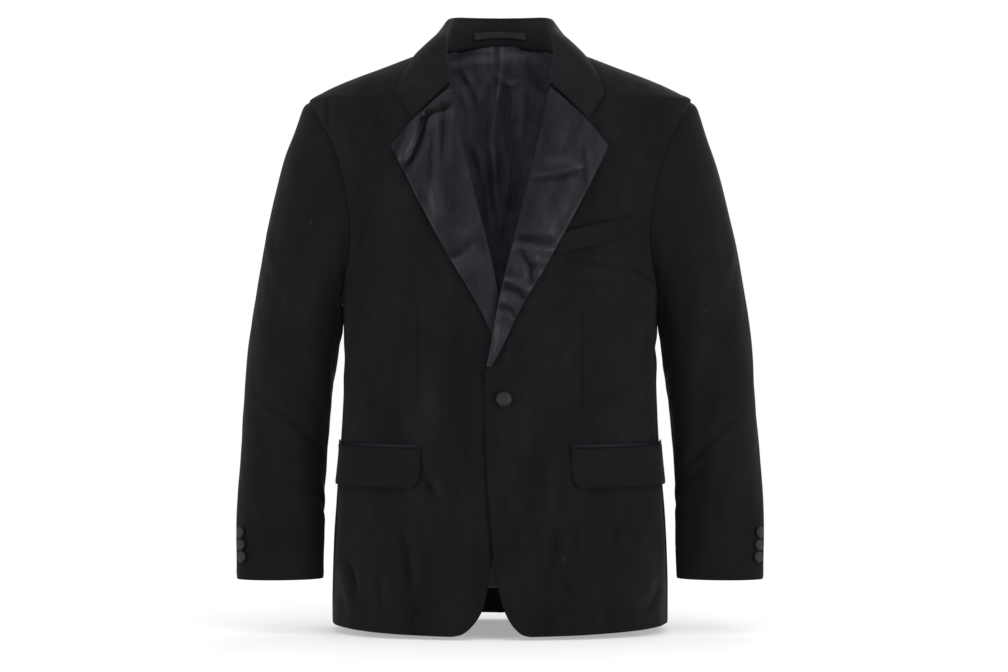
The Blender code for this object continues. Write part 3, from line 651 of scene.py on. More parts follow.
class Wire:
    """A socket of a finish's node tree, which may stand in an arithmetic expression."""

    def __init__(self, tree: "FinishTree", socket: bpy.types.NodeSocket) -> None:
        """Holds the socket and the tree that it is in."""
        self.tree = tree
        self.socket = socket

    def __add__(self, other: Any) -> "Wire":
        """The sum."""
        return self.tree.maths("ADD", self, other)

    __radd__ = __add__

    def __rsub__(self, other: Any) -> "Wire":
        """The difference from a number."""
        return self.tree.maths("SUBTRACT", other, self)

    def __mul__(self, other: Any) -> "Wire":
        """The product."""
        return self.tree.maths("MULTIPLY", self, other)

    __rmul__ = __mul__

    def __pow__(self, other: Any) -> "Wire":
        """The power."""
        return self.tree.maths("POWER", self, other)

    def wave(self) -> "Wire":
        """The sine."""
        return self.tree.maths("SINE", self, 0.0)

    def over(self, low: float, high: float) -> "Wire":
        """0 below low, 1 above high and smooth between."""
        node = self.tree.node(
            "ShaderNodeMapRange",
            {"interpolation_type": "SMOOTHSTEP"},
            {"Value": self, "From Min": low, "From Max": high},
        )
        return node.out("Result")


class FinishNode:
    """One node of a finish's tree."""

    def __init__(self, tree: "FinishTree", node: bpy.types.Node) -> None:
        """Holds the node."""
        self.tree = tree
        self.node = node

    def out(self, name: Any) -> Wire:
        """One of the node's outputs, by name or number."""
        return Wire(self.tree, self.node.outputs[name])


class FinishTree:
    """The node tree of one finish."""

    def __init__(self, name: str) -> None:
        """Makes an empty material with its output."""
        self.material = bpy.data.materials.new(name)
        self.material.use_nodes = True
        self.material.node_tree.nodes.clear()

    def node(self, kind: str, settings: dict[str, Any], inputs: dict[Any, Any]) -> FinishNode:
        """Adds a node.

        Args:
            kind: Blender's name of the node's type.
            settings: its own settings, set first.
            inputs: the value or link of each socket, by name or number.

        Returns:
            The new node.
        """
        made = self.material.node_tree.nodes.new(kind)
        for name, value in settings.items():
            setattr(made, name, value)
        for name, value in inputs.items():
            if isinstance(value, Wire):
                self.material.node_tree.links.new(value.socket, made.inputs[name])
            else:
                made.inputs[name].default_value = value
        return FinishNode(self, made)

    def maths(self, operation: str, a: Any, b: Any) -> Wire:
        """A number worked out from two others."""
        return self.node("ShaderNodeMath", {"operation": operation}, {0: a, 1: b}).out(0)

    def mixed(self, share: Any, a: Any, b: Any) -> Wire:
        """A colour between two colours."""
        return self.node("ShaderNodeMix", {"data_type": "RGBA"}, {0: share, 6: a, 7: b}).out(2)

    def noise(
        self, place: Wire, grains: float, detail: float = 2.0, stretch: Sequence[float] = (1, 1, 1)
    ) -> Wire:
        """Cloudy noise around 0.5.

        Args:
            place: where it is read.
            grains: how many of its clouds go to a metre.
            detail: how many finer layers it has.
            stretch: the share of the grains along each direction.

        Returns:
            The noise's value.
        """
        size = [grains * s for s in stretch]
        laid = self.node("ShaderNodeVectorMath", {"operation": "MULTIPLY"}, {0: place, 1: size}).out(0)
        return self.node("ShaderNodeTexNoise", {}, {"Vector": laid, "Scale": 1.0, "Detail": detail}).out(0)

    def object_place(self) -> Wire:
        """Places in the jacket's own frame."""
        return self.node("ShaderNodeTexCoord", {}, {}).out("Object")

    def away_from(self, place: Wire, centre: Sequence[float]) -> Wire:
        """Distance from a place."""
        made = self.node("ShaderNodeVectorMath", {"operation": "DISTANCE"}, {0: place, 1: centre})
        return made.out("Value")

    def cloth_place(self) -> Wire:
        """Places on the flat cloth, in metres."""
        return self.node("ShaderNodeUVMap", {"uv_map": "cloth"}, {}).out("UV")

    def painted_relief_shade(self, strength: float) -> Wire:
        """Painted light and shade from the relief: a factor around 1, higher on ridges, lower in troughs, seam
        lines, edges and contact.
        """
        kept = self.node("ShaderNodeAttribute", {"attribute_name": "break"}, {})
        return kept.out("Fac") * strength + 1.0

    def tinted(self, colour: Wire, by: Wire) -> Wire:
        """A colour made lighter or darker."""
        return self.node("ShaderNodeVectorMath", {"operation": "SCALE"}, {0: colour, "Scale": by}).out(0)

    def shade(self, **inputs: Any) -> bpy.types.Material:
        """Finishes the material with one Principled shader."""
        named = {name.replace("_", " "): value for name, value in inputs.items()}
        shader = self.node("ShaderNodeBsdfPrincipled", {}, named)
        self.node("ShaderNodeOutputMaterial", {}, {"Surface": shader.out("BSDF")})
        return self.material

    def bumped(self, height: Wire, depth: float, strength: float) -> Wire:
        """A normal bent by a height."""
        named = {"Height": height, "Distance": depth, "Strength": strength}
        return self.node("ShaderNodeBump", {}, named).out(0)


def grey(level: float, blue: float = 1.0, red: float = 1.0) -> tuple[float, float, float, float]:
    """A near grey colour."""
    return (level * red, level, level * blue, 1.0)


@dataclass(frozen=True)
class WoolFinish:
    """Matt black barathea wool with a fine twill, a little nap and odd specks of lint."""

    name: str = "dinner_wool"
    slot: str = "black_wool"
    level: float = 0.0043
    blue: float = 1.17
    twill: float = 0.0009
    twill_lean: float = 0.9
    nap_grains: float = 420.0
    cloud_grains: float = 16.0
    patch_grains: float = 60.0
    lint_grains: float = 300.0
    lint_patches: float = 11.0
    lint_tone: float = 0.055
    lint_cover: float = 0.8
    fleck_core: float = 0.0004
    fleck_reach: float = 0.0022
    lay: float = 0.50
    # painted light on the collar's stand, which lies in the shade inside the neck
    stand_painted_light: float = 1.0
    stand_top: float = 0.020
    fall_start: float = 0.028
    relief: float = 0.00035

    def made(self) -> bpy.types.Material:
        """The wool's material."""
        tree = FinishTree(self.name)
        place, flat = tree.object_place(), tree.cloth_place()
        split = tree.node("ShaderNodeSeparateXYZ", {}, {0: flat})
        diagonal = (split.out(0) * self.twill_lean + split.out(1)) * (TURN / self.twill)
        rib = diagonal.wave() * 0.5 + 0.5
        nap = tree.noise(place, self.nap_grains, 3.0)
        cloud = tree.noise(place, self.cloud_grains, 3.0)
        patch = tree.noise(place, self.patch_grains)
        worn = cloud.over(0.35, 0.72) * 0.42 + patch.over(0.4, 0.75) * 0.23 + nap * 0.35
        colour = tree.mixed(worn, grey(self.level * 0.76, self.blue), grey(self.level * 1.32, self.blue))
        lint_field = tree.noise(place, self.lint_grains, 1.0, (1.0, 1.0, 1.6))
        lint_where = tree.noise(place, self.lint_patches, 0.0)
        lint = lint_field.over(0.75, 0.79) * lint_where.over(0.64, 0.70)
        for fleck in FLECKS:
            away = tree.away_from(place, fleck).over(self.fleck_core, self.fleck_reach)
            lint = lint + (1.0 - away) * lint_field.over(0.42, 0.52)
        colour = tree.mixed(lint * self.lint_cover, colour, grey(self.lint_tone))
        # painted light on ridges and painted shade in troughs, seam lines and edges
        colour = tree.tinted(colour, tree.painted_relief_shade(self.lay))
        # painted light: the stand made lighter than the fall against the shade inside the neck, partly also a
        # lighter under-collar cloth
        if self.stand_painted_light > 1.0:
            on_fall = split.out(1).over(self.stand_top, self.fall_start)
            colour = tree.tinted(colour, on_fall * (1.0 - self.stand_painted_light) + self.stand_painted_light)
        relief = rib * 0.35 + nap * 0.5 + patch * 0.6
        return tree.shade(
            Base_Color=colour,
            Roughness=nap * 0.10 + 0.80,
            Specular_IOR_Level=0.07,
            Sheen_Weight=0.035,
            Sheen_Roughness=0.45,
            Normal=tree.bumped(relief, self.relief, 0.55),
        )


@dataclass(frozen=True)
class TapeFinish:
    """Plain black tape of a tight weave, a little lighter than the wool beside it."""

    name: str = "loop_tape"
    slot: str = "black_wool"
    level: float = 0.021
    blue: float = 1.12
    red: float = 1.03
    grains: float = 1300.0
    relief: float = 0.0002

    def made(self) -> bpy.types.Material:
        """The tape's material."""
        tree = FinishTree(self.name)
        weave = tree.noise(tree.cloth_place(), self.grains)
        dark, light = (grey(self.level * share, self.blue, self.red) for share in (0.85, 1.15))
        colour = tree.mixed(weave, dark, light)
        return tree.shade(
            Base_Color=colour,
            Roughness=weave * 0.1 + 0.6,
            Specular_IOR_Level=0.15,
            Normal=tree.bumped(weave, self.relief, 0.5),
        )


@dataclass(frozen=True)
class SatinFinish:
    """Black silk satin with a broad soft sheen and the faint grain of its threads."""

    name: str = "facing_satin"
    slot: str = "black_satin"
    level: float = 0.0082
    blue: float = 1.34
    red: float = 0.92
    roughness: float = 0.39
    shine: float = 0.10
    lay: float = 0.75
    thread_grains: float = 900.0
    thread_length: float = 0.12
    cloud_grains: float = 45.0
    relief: float = 0.00022

    def made(self) -> bpy.types.Material:
        """The satin's material."""
        tree = FinishTree(self.name)
        place, flat = tree.object_place(), tree.cloth_place()
        threads = tree.noise(flat, self.thread_grains, 2.0, (1.0, self.thread_length, 1.0))
        cloud = tree.noise(place, self.cloud_grains, 3.0)
        dark, light = (grey(self.level * share, self.blue, self.red) for share in (0.92, 1.08))
        colour = tree.mixed(cloud.over(0.3, 0.7), dark, light)
        return tree.shade(
            # painted light on ridges and painted shade in troughs and at the edges
            Base_Color=tree.tinted(colour, tree.painted_relief_shade(self.lay)),
            Roughness=cloud * 0.06 + (threads * 0.05 + (self.roughness - 0.055)),
            Specular_IOR_Level=self.shine,
            Sheen_Weight=0.02,
            Sheen_Roughness=0.3,
            Normal=tree.bumped(threads + cloud * 2.0, self.relief, 0.5),
        )


@dataclass(frozen=True)
class LiningFinish:
    """Dark plum lining of a fine slippery twill."""

    name: str = "plum_twill_lining"
    slot: str = "plum_lining"
    dark: tuple[float, float, float, float] = (0.0540, 0.0475, 0.0635, 1.0)
    light: tuple[float, float, float, float] = (0.0725, 0.0635, 0.0850, 1.0)
    lay: float = 0.35
    thread_grains: float = 1100.0
    thread_length: float = 0.3
    cloud_grains: float = 40.0
    relief: float = 0.0002

    def made(self) -> bpy.types.Material:
        """The lining's material."""
        tree = FinishTree(self.name)
        place, flat = tree.object_place(), tree.cloth_place()
        fine = tree.noise(flat, self.thread_grains, 2.0, (1.0, self.thread_length, 1.0))
        cloud = tree.noise(place, self.cloud_grains, 3.0)
        colour = tree.mixed(cloud.over(0.3, 0.7), self.dark, self.light)
        return tree.shade(
            # painted light on ridges and painted shade in troughs
            Base_Color=tree.tinted(colour, tree.painted_relief_shade(self.lay)),
            Roughness=fine * 0.06 + 0.48,
            Specular_IOR_Level=0.14,
            Normal=tree.bumped(fine + cloud * 1.5, self.relief, 0.5),
        )


@dataclass(frozen=True)
class ButtonFinish:
    """Corded satin drawn tight over a button."""

    name: str = "drawn_satin"
    slot: str = "covered_button"
    dark: float = 0.0066
    light: float = 0.0120
    blue: float = 1.07
    cord: float = 0.0011
    grains: float = 1500.0
    # where the painted shade on the rim begins and where it is full
    rim_from: float = 0.0062
    rim_to: float = 0.0098
    painted_rim_shade: float = 0.65
    relief: float = 0.00018

    def made(self) -> bpy.types.Material:
        """The button cloth's material."""
        tree = FinishTree(self.name)
        flat = tree.cloth_place()
        split = tree.node("ShaderNodeSeparateXYZ", {}, {0: flat})
        pace = TURN / self.cord
        cords = (split.out(0) * pace).wave() * (split.out(1) * pace).wave()
        grain = tree.noise(flat, self.grains)
        colour = tree.mixed(cords * 0.5 + 0.5, grey(self.dark, self.blue), grey(self.light, self.blue))
        reach = (split.out(0) ** 2.0 + split.out(1) ** 2.0) ** 0.5
        # painted shade: the rim of the button darker than its crown
        colour = tree.tinted(colour, reach.over(self.rim_from, self.rim_to) * -self.painted_rim_shade + 1.0)
        return tree.shade(
            Base_Color=colour,
            Roughness=grain * 0.1 + 0.38,
            Specular_IOR_Level=0.16,
            Sheen_Weight=0.02,
            Normal=tree.bumped(cords * 0.6 + grain, self.relief, 0.6),
        )


@cache
def cloth_of(finish: Any) -> bpy.types.Material:
    """The finish's material, made once."""
    return finish.made()


def placed(name: str, mesh: bpy.types.Mesh, finish: Any, node: str) -> bpy.types.Object:
    """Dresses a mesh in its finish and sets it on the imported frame.

    Args:
        name: the piece's name.
        mesh: its shape, in the jacket's own frame.
        finish: its cloth.
        node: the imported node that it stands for.

    Returns:
        The piece.
    """
    mesh.materials.append(cloth_of(finish))
    piece = bpy.data.objects.new(name, mesh)
    bpy.context.scene.collection.objects.link(piece)
    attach(piece, BODY)
    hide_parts(node)
    return piece


class Cut(NamedTuple):
    """The flat size that a piece of cloth is cut to, its flat area, and how it is held."""

    width: float
    length: float
    area: float
    held: str
    rests_on: tuple[str, ...]


@dataclass
class ClothPiece:
    """A panel of cloth: a grid laid on the jacket's form, creased and given its thickness.

    edge_sink says how deep its four edges sink, and the edge shade fields how dark painted shade makes them:
    first the start and end across it, then the start and end along it.
    """

    name: str
    node: str
    side: int
    finish: Any
    cut: Cut
    columns: int
    rows: int
    thickness: float = CLOTH
    crowding: tuple[float, float] = (0.55, 0.45)
    edge_sink: tuple[float, float, float, float] = (0.0006, 0.0006, 0.0005, 0.0006)
    edge_tone: tuple[float, float, float, float] = (0.6, 0.6, 0.5, 0.6)
    edge_width: float = 0.0030
    full_break: float = 0.0030
    creases: tuple[Crease, ...] = ()
    ripples: tuple[Ripple, ...] = ()
    calm_across: Fade = Fade(0.03, 0.03)
    calm_along: Fade = Fade(0.0, 0.03)
    form: JacketForm = field(default_factory=JacketForm)
    broken: Array = field(init=False, repr=False)

    def place(self, u: Array, v: Array) -> tuple[Array, Array]:
        """Where the piece's outer face lies, before it is creased.

        Args:
            u: shares across the piece, from 0 to 1.
            v: shares along it.

        Returns:
            Places, and the outward directions there.
        """
        raise NotImplementedError

    def view(self, u: Array, v: Array, points: Array) -> tuple[Array, Array]:
        """The flat view that the creases are drawn in."""
        return points[:, 0], points[:, 2]

    def swell(self, u: Array, v: Array, points: Array) -> Array:
        """Further forms of this piece alone."""
        return np.zeros_like(u)

    def calm(self, u: Array, v: Array) -> Array:
        """Where creases die away, so that the piece meets its neighbours."""
        return self.calm_across.at(u) * self.calm_along.at(v)

    def relief(self, u: Array, v: Array, points: Array) -> Array:
        """How far the cloth stands out from the plain form. It also notes the painted light and shade there:
        lighter on ridges, darker in troughs, seam lines, edges and against other cloth.

        Args:
            u: shares across the piece.
            v: shares along it.
            points: places on the plain form.

        Returns:
            The height over the form at each place.
        """
        x, z = self.view(u, v, points)
        out = self.swell(u, v, points)
        waved = sum((r.height(x, z) for r in self.ripples), np.zeros_like(u))
        broken = sum((c.height(x, z) for c in self.creases), np.zeros_like(u))
        folded = (waved + broken) * self.calm(u, v)
        lined = self.seams(u, v, points)
        wide, long, reach = self.cut.width, self.cut.length, self.edge_width
        far = (u * wide, (1 - u) * wide, v * long, (1 - v) * long)
        sunk = sum(sink * hump(distance / reach) for sink, distance in zip(self.edge_sink, far))
        # painted shade along each edge, full at the edge and gone within a few millimetres
        dark = sum(tone * hump(distance / DARK_EDGE) for tone, distance in zip(self.edge_tone, far))
        # painted light on ridges and painted shade in troughs, seam lines, edges and against other cloth
        self.broken = folded / self.full_break - lined / FULL_LINE - dark - self.shade(points)
        return out + folded - lined - sunk

    def seams(self, u: Array, v: Array, points: Array) -> Array:
        """How deep the cloth sinks in the seams and edges drawn on it; the same lines are also painted darker
        as shade.
        """
        return np.zeros_like(u)

    def shade(self, points: Array) -> Array:
        """How much painted shade darkens the cloth where it lies against other cloth."""
        return np.zeros(len(points))

    @staticmethod
    def crowded(share: Array, how_much: float) -> Array:
        """Grid lines moved closer together towards both ends."""
        return share - how_much * np.sin(TURN * share) / TURN

    def mesh(self) -> bpy.types.Mesh:
        """The creased face of the piece, with its flat cloth as its UV map."""
        made = bmesh.new()
        layer = made.loops.layers.uv.new("cloth")
        bmesh.ops.create_grid(made, x_segments=self.columns, y_segments=self.rows, size=0.5)
        made.verts.ensure_lookup_table()
        made.verts.index_update()
        flat = np.array([vert.co[:2] for vert in made.verts]) + 0.5
        u, v = (self.crowded(flat[:, k], self.crowding[k]) for k in (0, 1))
        points, normals = self.place(u, v)
        points = points + normals * self.relief(u, v, points)[:, None]
        for vert, point in zip(made.verts, points):
            vert.co = point
        for face in made.faces:
            for loop in face.loops:
                i = loop.vert.index
                loop[layer].uv = (u[i] * self.cut.width, v[i] * self.cut.length)
        made.normal_update()
        if sum(face.normal.dot(Vector(normals[face.verts[0].index])) for face in made.faces) < 0:
            bmesh.ops.reverse_faces(made, faces=made.faces)
        mesh = bpy.data.meshes.new(self.name)
        made.to_mesh(mesh)
        made.free()
        mesh.shade_smooth()
        # the piece's painted light and shade, which the material reads
        kept = mesh.attributes.new("break", "FLOAT", "POINT")
        kept.data.foreach_set("value", np.clip(self.broken, DARKEST, LIGHTEST))
        return mesh

    def built(self) -> bpy.types.Object:
        """The finished piece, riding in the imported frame."""
        piece = placed(self.name, self.mesh(), self.finish, self.node)
        wall = piece.modifiers.new("cloth_wall", "SOLIDIFY")
        wall.thickness = self.thickness
        wall.offset = -1.0
        wall.use_quality_normals = True
        self.cut.length
        log.info("%s: %d x %d patches of cloth", self.name, self.columns, self.rows)
        return piece


class FrontEdge(NamedTuple):
    """A place down the front edges, for each front."""

    height: float
    left_x: float
    right_x: float


class LapelRow(NamedTuple):
    """A row of the lapel: where it rolls over, and where its outer edge lies."""

    roll_x: float
    roll_height: float
    edge_x: float
    edge_height: float


FRONT_EDGE = (
    FrontEdge(-0.6985, 0.0370, -0.0580),
    FrontEdge(-0.6960, 0.0280, -0.0480),
    FrontEdge(-0.6860, 0.0165, -0.0350),
    FrontEdge(-0.6640, 0.0045, -0.0212),
    FrontEdge(-0.6290, -0.0043, -0.0135),
    FrontEdge(-0.5830, -0.0100, -0.0060),
    FrontEdge(-0.5050, -0.0163, 0.0080),
    FrontEdge(-0.4180, -0.0200, 0.0175),
    FrontEdge(-0.3690, -0.0182, 0.0182),
)
LAPEL = (
    LapelRow(-0.0176, -0.3630, -0.0106, -0.3630),
    LapelRow(-0.0137, -0.3450, 0.0030, -0.3380),
    LapelRow(-0.0045, -0.2915, 0.0235, -0.2940),
    LapelRow(0.0146, -0.2110, 0.0665, -0.2205),
    LapelRow(0.0311, -0.1450, 0.0995, -0.1600),
    LapelRow(0.0475, -0.0755, 0.1245, -0.1108),
    LapelRow(0.0620, -0.0140, 0.1365, -0.0868),
)
ROLL_RADIUS = CLOTH / 2 + 2 * SEAM_GAP + SATIN
NO_EDGES = (0.0, 0.0, 0.0, 0.0)


@dataclass
class FrontPanel(ClothPiece):
    """One front, from its edge, roll line and neckline to the side seam and the armhole."""

    dart_x: float = 0.1030
    dart_top: float = -0.2680
    dart_foot: float = -0.4300
    dart_depth: float = 0.0013
    dart_width: float = 0.0016
    dart_foot_fade: float = 0.03
    dart_top_fade: float = 0.05
    dent: float = 0.0007
    dent_off: float = 0.0012
    dent_width: float = 0.0018
    lap_dent: float = 0.0007
    lap_dent_foot: float = -0.690
    lap_dent_fade: float = 0.030
    pocket_top: float = -0.4600
    lapel_from: float = 0.40
    lapel_reach: float = 0.08
    calm_across: Fade = Fade(0.02, 0.04)
    calm_along: Fade = Fade(0.0, 0.04)
    calm_by_roll: Fade = Fade(0.12, 0.04)

    @cached_property
    def inner(self) -> tuple[Track, Track]:
        """x and height of the middle edge over the rows of the pattern."""
        low = [((row.left_x if self.side > 0 else row.right_x) * self.side, row.height) for row in FRONT_EDGE]
        roll = [(row.roll_x + ROLL_RADIUS, row.roll_height) for row in LAPEL]
        neck = [(p[0], p[2]) for p in self.form.neckline(np.array((1.0, 2.0, 3.0)))]
        neck_width = float(self.form.body.at_height(np.array(self.form.neck_point))[0])
        rows = low + roll + neck + [(neck_width, self.form.neck_point)]
        return Track(range(len(rows)), [r[0] for r in rows]), Track(range(len(rows)), [r[1] for r in rows])

    def place(self, u: Array, v: Array) -> tuple[Array, Array]:
        """Places and normals of the front."""
        form, (inner_x, inner_z) = self.form, self.inner
        rows = len(inner_x.keys) - 1
        row, seam_rows = v * rows, rows - form.front_seam
        seam_angle, seam_top = form.armhole(form.front_seam)
        hole_angle, hole_height = form.armhole(form.front_seam - (row - seam_rows))
        by_seam = row <= seam_rows
        angle_out = np.where(by_seam, seam_angle + PRESS_ANGLE, hole_angle)
        z_out = np.where(by_seam, blend(form.hem_side, seam_top, row / seam_rows), hole_height)
        z_in = inner_z(row)
        angle_in = form.body.angle_at(inner_x(row), z_in)
        hem_drop = (form.hem_front - form.hem_side) * (1 - ease((z_out - form.hem_side) / form.hem_fade))
        height = blend(z_in, z_out, u) + hem_drop * u * (1 - u) ** 2
        angle = np.where(v > 1 - TINY, QUARTER, blend(angle_in, angle_out, u))
        points, normals = form.on(angle, height, self.side)
        points[:, 1] += SEAM_PRESS * at_top(v, TOP_PRESS)
        return points, normals

    def seams(self, u: Array, v: Array, points: Array) -> Array:
        """The dart, and the dents beside the edges on this front: flap, welt and the other front, also painted
        as shade.
        """
        x, z = points[:, 0] * self.side, points[:, 2]
        ends = ease((z - self.dart_foot) / self.dart_foot_fade)
        ends = ends * ease((self.dart_top - z) / self.dart_top_fade)
        sunk = self.dart_depth * hump((x - self.dart_x) / self.dart_width) * ends
        sunk = sunk + self.dent * hump((self.off_flap(x, z) - self.dent_off) / self.dent_width)
        if self.side > 0:
            return sunk + self.dent * hump((self.off_welt(x, z) - self.dent_off) / self.dent_width)
        edge = Track([row.height for row in FRONT_EDGE], [-row.left_x for row in FRONT_EDGE])
        beside = hump((x - edge(z) - self.dent_off) / (2 * self.dent_width)) * (z < FRONT_EDGE[-1].height)
        return sunk + self.lap_dent * beside * ease((z - self.lap_dent_foot) / self.lap_dent_fade)

    def off_flap(self, x: Array, z: Array) -> Array:
        """Distance outside the flap's outline, in the front view."""
        front = HipPocket.left_x if self.side > 0 else HipPocket.right_x
        foot, corner = HipPocket.top_front - Flap.depth, Flap.corner
        ahead, below = np.maximum(front + corner - x, 0.0), np.maximum(foot + corner - z, 0.0)
        inside = np.maximum(np.hypot(ahead, below) - corner, z - self.pocket_top)
        return np.where(z > self.pocket_top, np.inf, inside)

    @staticmethod
    def off_welt(x: Array, z: Array) -> Array:
        """Distance outside the breast welt's outline."""
        welt, half = BreastWelt, BreastWelt.depth / 2
        share = (x - welt.front_x) / (welt.back_x - welt.front_x)
        middle = blend(welt.front_height, welt.back_height, share) - half
        return np.maximum(np.abs(z - middle) - half, x - welt.back_x)

    def calm(self, u: Array, v: Array) -> Array:
        """Creases die away at the seams and where the lapel turns."""
        by_lapel = ease((v - self.lapel_from) / self.lapel_reach)
        return self.calm_along.at(v) * blend(self.calm_across.at(u), self.calm_by_roll.at(u), by_lapel)


@dataclass
class SidePanel(ClothPiece):
    """The panel under one arm."""

    curved_from: float = 0.6

    def place(self, u: Array, v: Array) -> tuple[Array, Array]:
        """Places and normals of the side."""
        form = self.form
        front_angle, front_top = form.armhole(form.front_seam)
        back_angle, back_top = form.armhole(form.back_seam)
        low, high = front_angle - PRESS_ANGLE, back_angle + PRESS_ANGLE
        rise = at_top(v, 1 - self.curved_from)
        edge_angle, edge_height = form.armhole(blend(form.front_seam, form.back_seam, u))
        angle = blend(blend(low, high, u), np.clip(edge_angle, low, high), rise)
        top = blend(front_top, back_top, u)
        height = blend(form.hem_side, top, v) + rise * (edge_height - top)
        return form.on(angle, height, self.side)

    def view(self, u: Array, v: Array, points: Array) -> tuple[Array, Array]:
        """Creases are drawn as seen from the side."""
        return points[:, 1], points[:, 2]


@dataclass
class BackPanel(ClothPiece):
    """One half of the back, from the centre seam to the side seam, the armhole and the shoulder."""

    crowd_up: float = 1.35
    yoke_from: float = 0.35
    seam_rows: int = 8
    neck_steps: int = 8
    shoulder_steps: int = 8

    @cached_property
    def neck(self) -> tuple[Track, Track]:
        """Angle and height of the back's neckline, from the centre."""
        last = len(self.form.collar) - 1
        steps = np.arange(self.neck_steps + 1)
        places = self.form.neckline(last - steps / 2)
        angles = np.arctan2(places[:, 0], -places[:, 1])
        return Track(steps, angles), Track(steps, places[:, 2])

    def top(self, share: Array) -> tuple[Array, Array]:
        """Angle and height along the neckline and then the shoulder seam."""
        neck_angle, neck_height = self.neck
        at = share * (self.neck_steps + self.shoulder_steps)
        past_neck = (at - self.neck_steps) / self.shoulder_steps
        on_shoulder = blend(self.form.neck_point, self.form.shoulder_tip, past_neck)
        by_neck = past_neck <= 0
        return np.where(by_neck, neck_angle(at), QUARTER), np.where(by_neck, neck_height(at), on_shoulder)

    def place(self, u: Array, v: Array) -> tuple[Array, Array]:
        """Places and normals of the half back."""
        form, seam_rows = self.form, self.seam_rows
        row = v * (form.samples - form.back_seam + seam_rows)
        seam_angle, seam_top = form.armhole(form.back_seam)
        hole_angle, hole_height = form.armhole(form.back_seam + (row - seam_rows))
        by_seam = row <= seam_rows
        angle_out = np.where(by_seam, seam_angle - PRESS_ANGLE, hole_angle)
        z_out = np.where(by_seam, blend(form.hem_side, seam_top, row / seam_rows), hole_height)
        z_in = blend(form.neck_back, form.hem_back, (1 - v) ** self.crowd_up)
        rise = np.maximum(0.0, (v - self.yoke_from) / (1 - self.yoke_from)) ** 2
        top_angle, top_height = self.top(u)
        middle = math.pi + SEAM_PRESS / NECK_REACH
        angle = blend(middle, angle_out, u) + rise * (top_angle - blend(math.pi, QUARTER, u))
        height = blend(z_in, z_out, u) + rise * (top_height - blend(form.neck_back, form.shoulder_tip, u))
        points, normals = form.on(angle, height, self.side)
        points[:, 1] -= SEAM_PRESS * at_top(v, TOP_PRESS)
        return points, normals


@dataclass
class BackLining(BackPanel):
    """The lining inside both halves of the back, with its centre pleat."""

    span: float = 0.62
    clear: float = 0.0012
    least_off: float = 0.0024
    pleat_x: float = -0.0050
    pleat_depth: float = 0.0030
    pleat_half_width: float = 0.0120
    wave_depth: float = 0.0012
    wave_length: float = 0.0460
    top_share: float = 0.990
    foot_share: float = 0.034
    neck_rise: float = 0.0060
    neck_from: float = 0.045
    neck_half_width: float = 0.0560
    neck_fade: float = 0.0140
    stand_off: float = 0.0042
    top_fade: float = 0.06
    calm_across: Fade = Fade(0.05, 0.05)
    calm_along: Fade = Fade(0.0, 0.015)

    def place(self, u: Array, v: Array) -> tuple[Array, Array]:
        """Places and normals of the lining, from one armhole to the other."""
        across = np.abs(2 * u - 1) * self.span
        points, normals = super().place(across, blend(self.foot_share, self.top_share, v))
        way = np.where(u < 0.5, -1.0, 1.0)
        flip = np.stack((way, np.ones_like(u), np.ones_like(u)), axis=-1)
        points, normals = points * flip, normals * flip
        points[:, 0] = np.where(np.abs(u - 0.5) < TINY, 0.0, points[:, 0])
        past_neck = ease((np.abs(points[:, 0]) - self.neck_half_width) / self.neck_fade)
        points[:, 2] += self.neck_rise * at_top(v, self.neck_from) * (1 - past_neck)
        return points - normals * (CLOTH + self.clear), -normals

    def swell(self, u: Array, v: Array, points: Array) -> Array:
        """The lining stands off the back in soft waves round its pleat."""
        x = points[:, 0]
        pleat = self.pleat_depth * hump((x - self.pleat_x) / self.pleat_half_width)
        loose = self.wave_depth * (1 - np.cos(TURN * x / self.wave_length)) / 2
        return (pleat + loose + self.stand_off) * ease((1 - v) / self.top_fade) + self.least_off


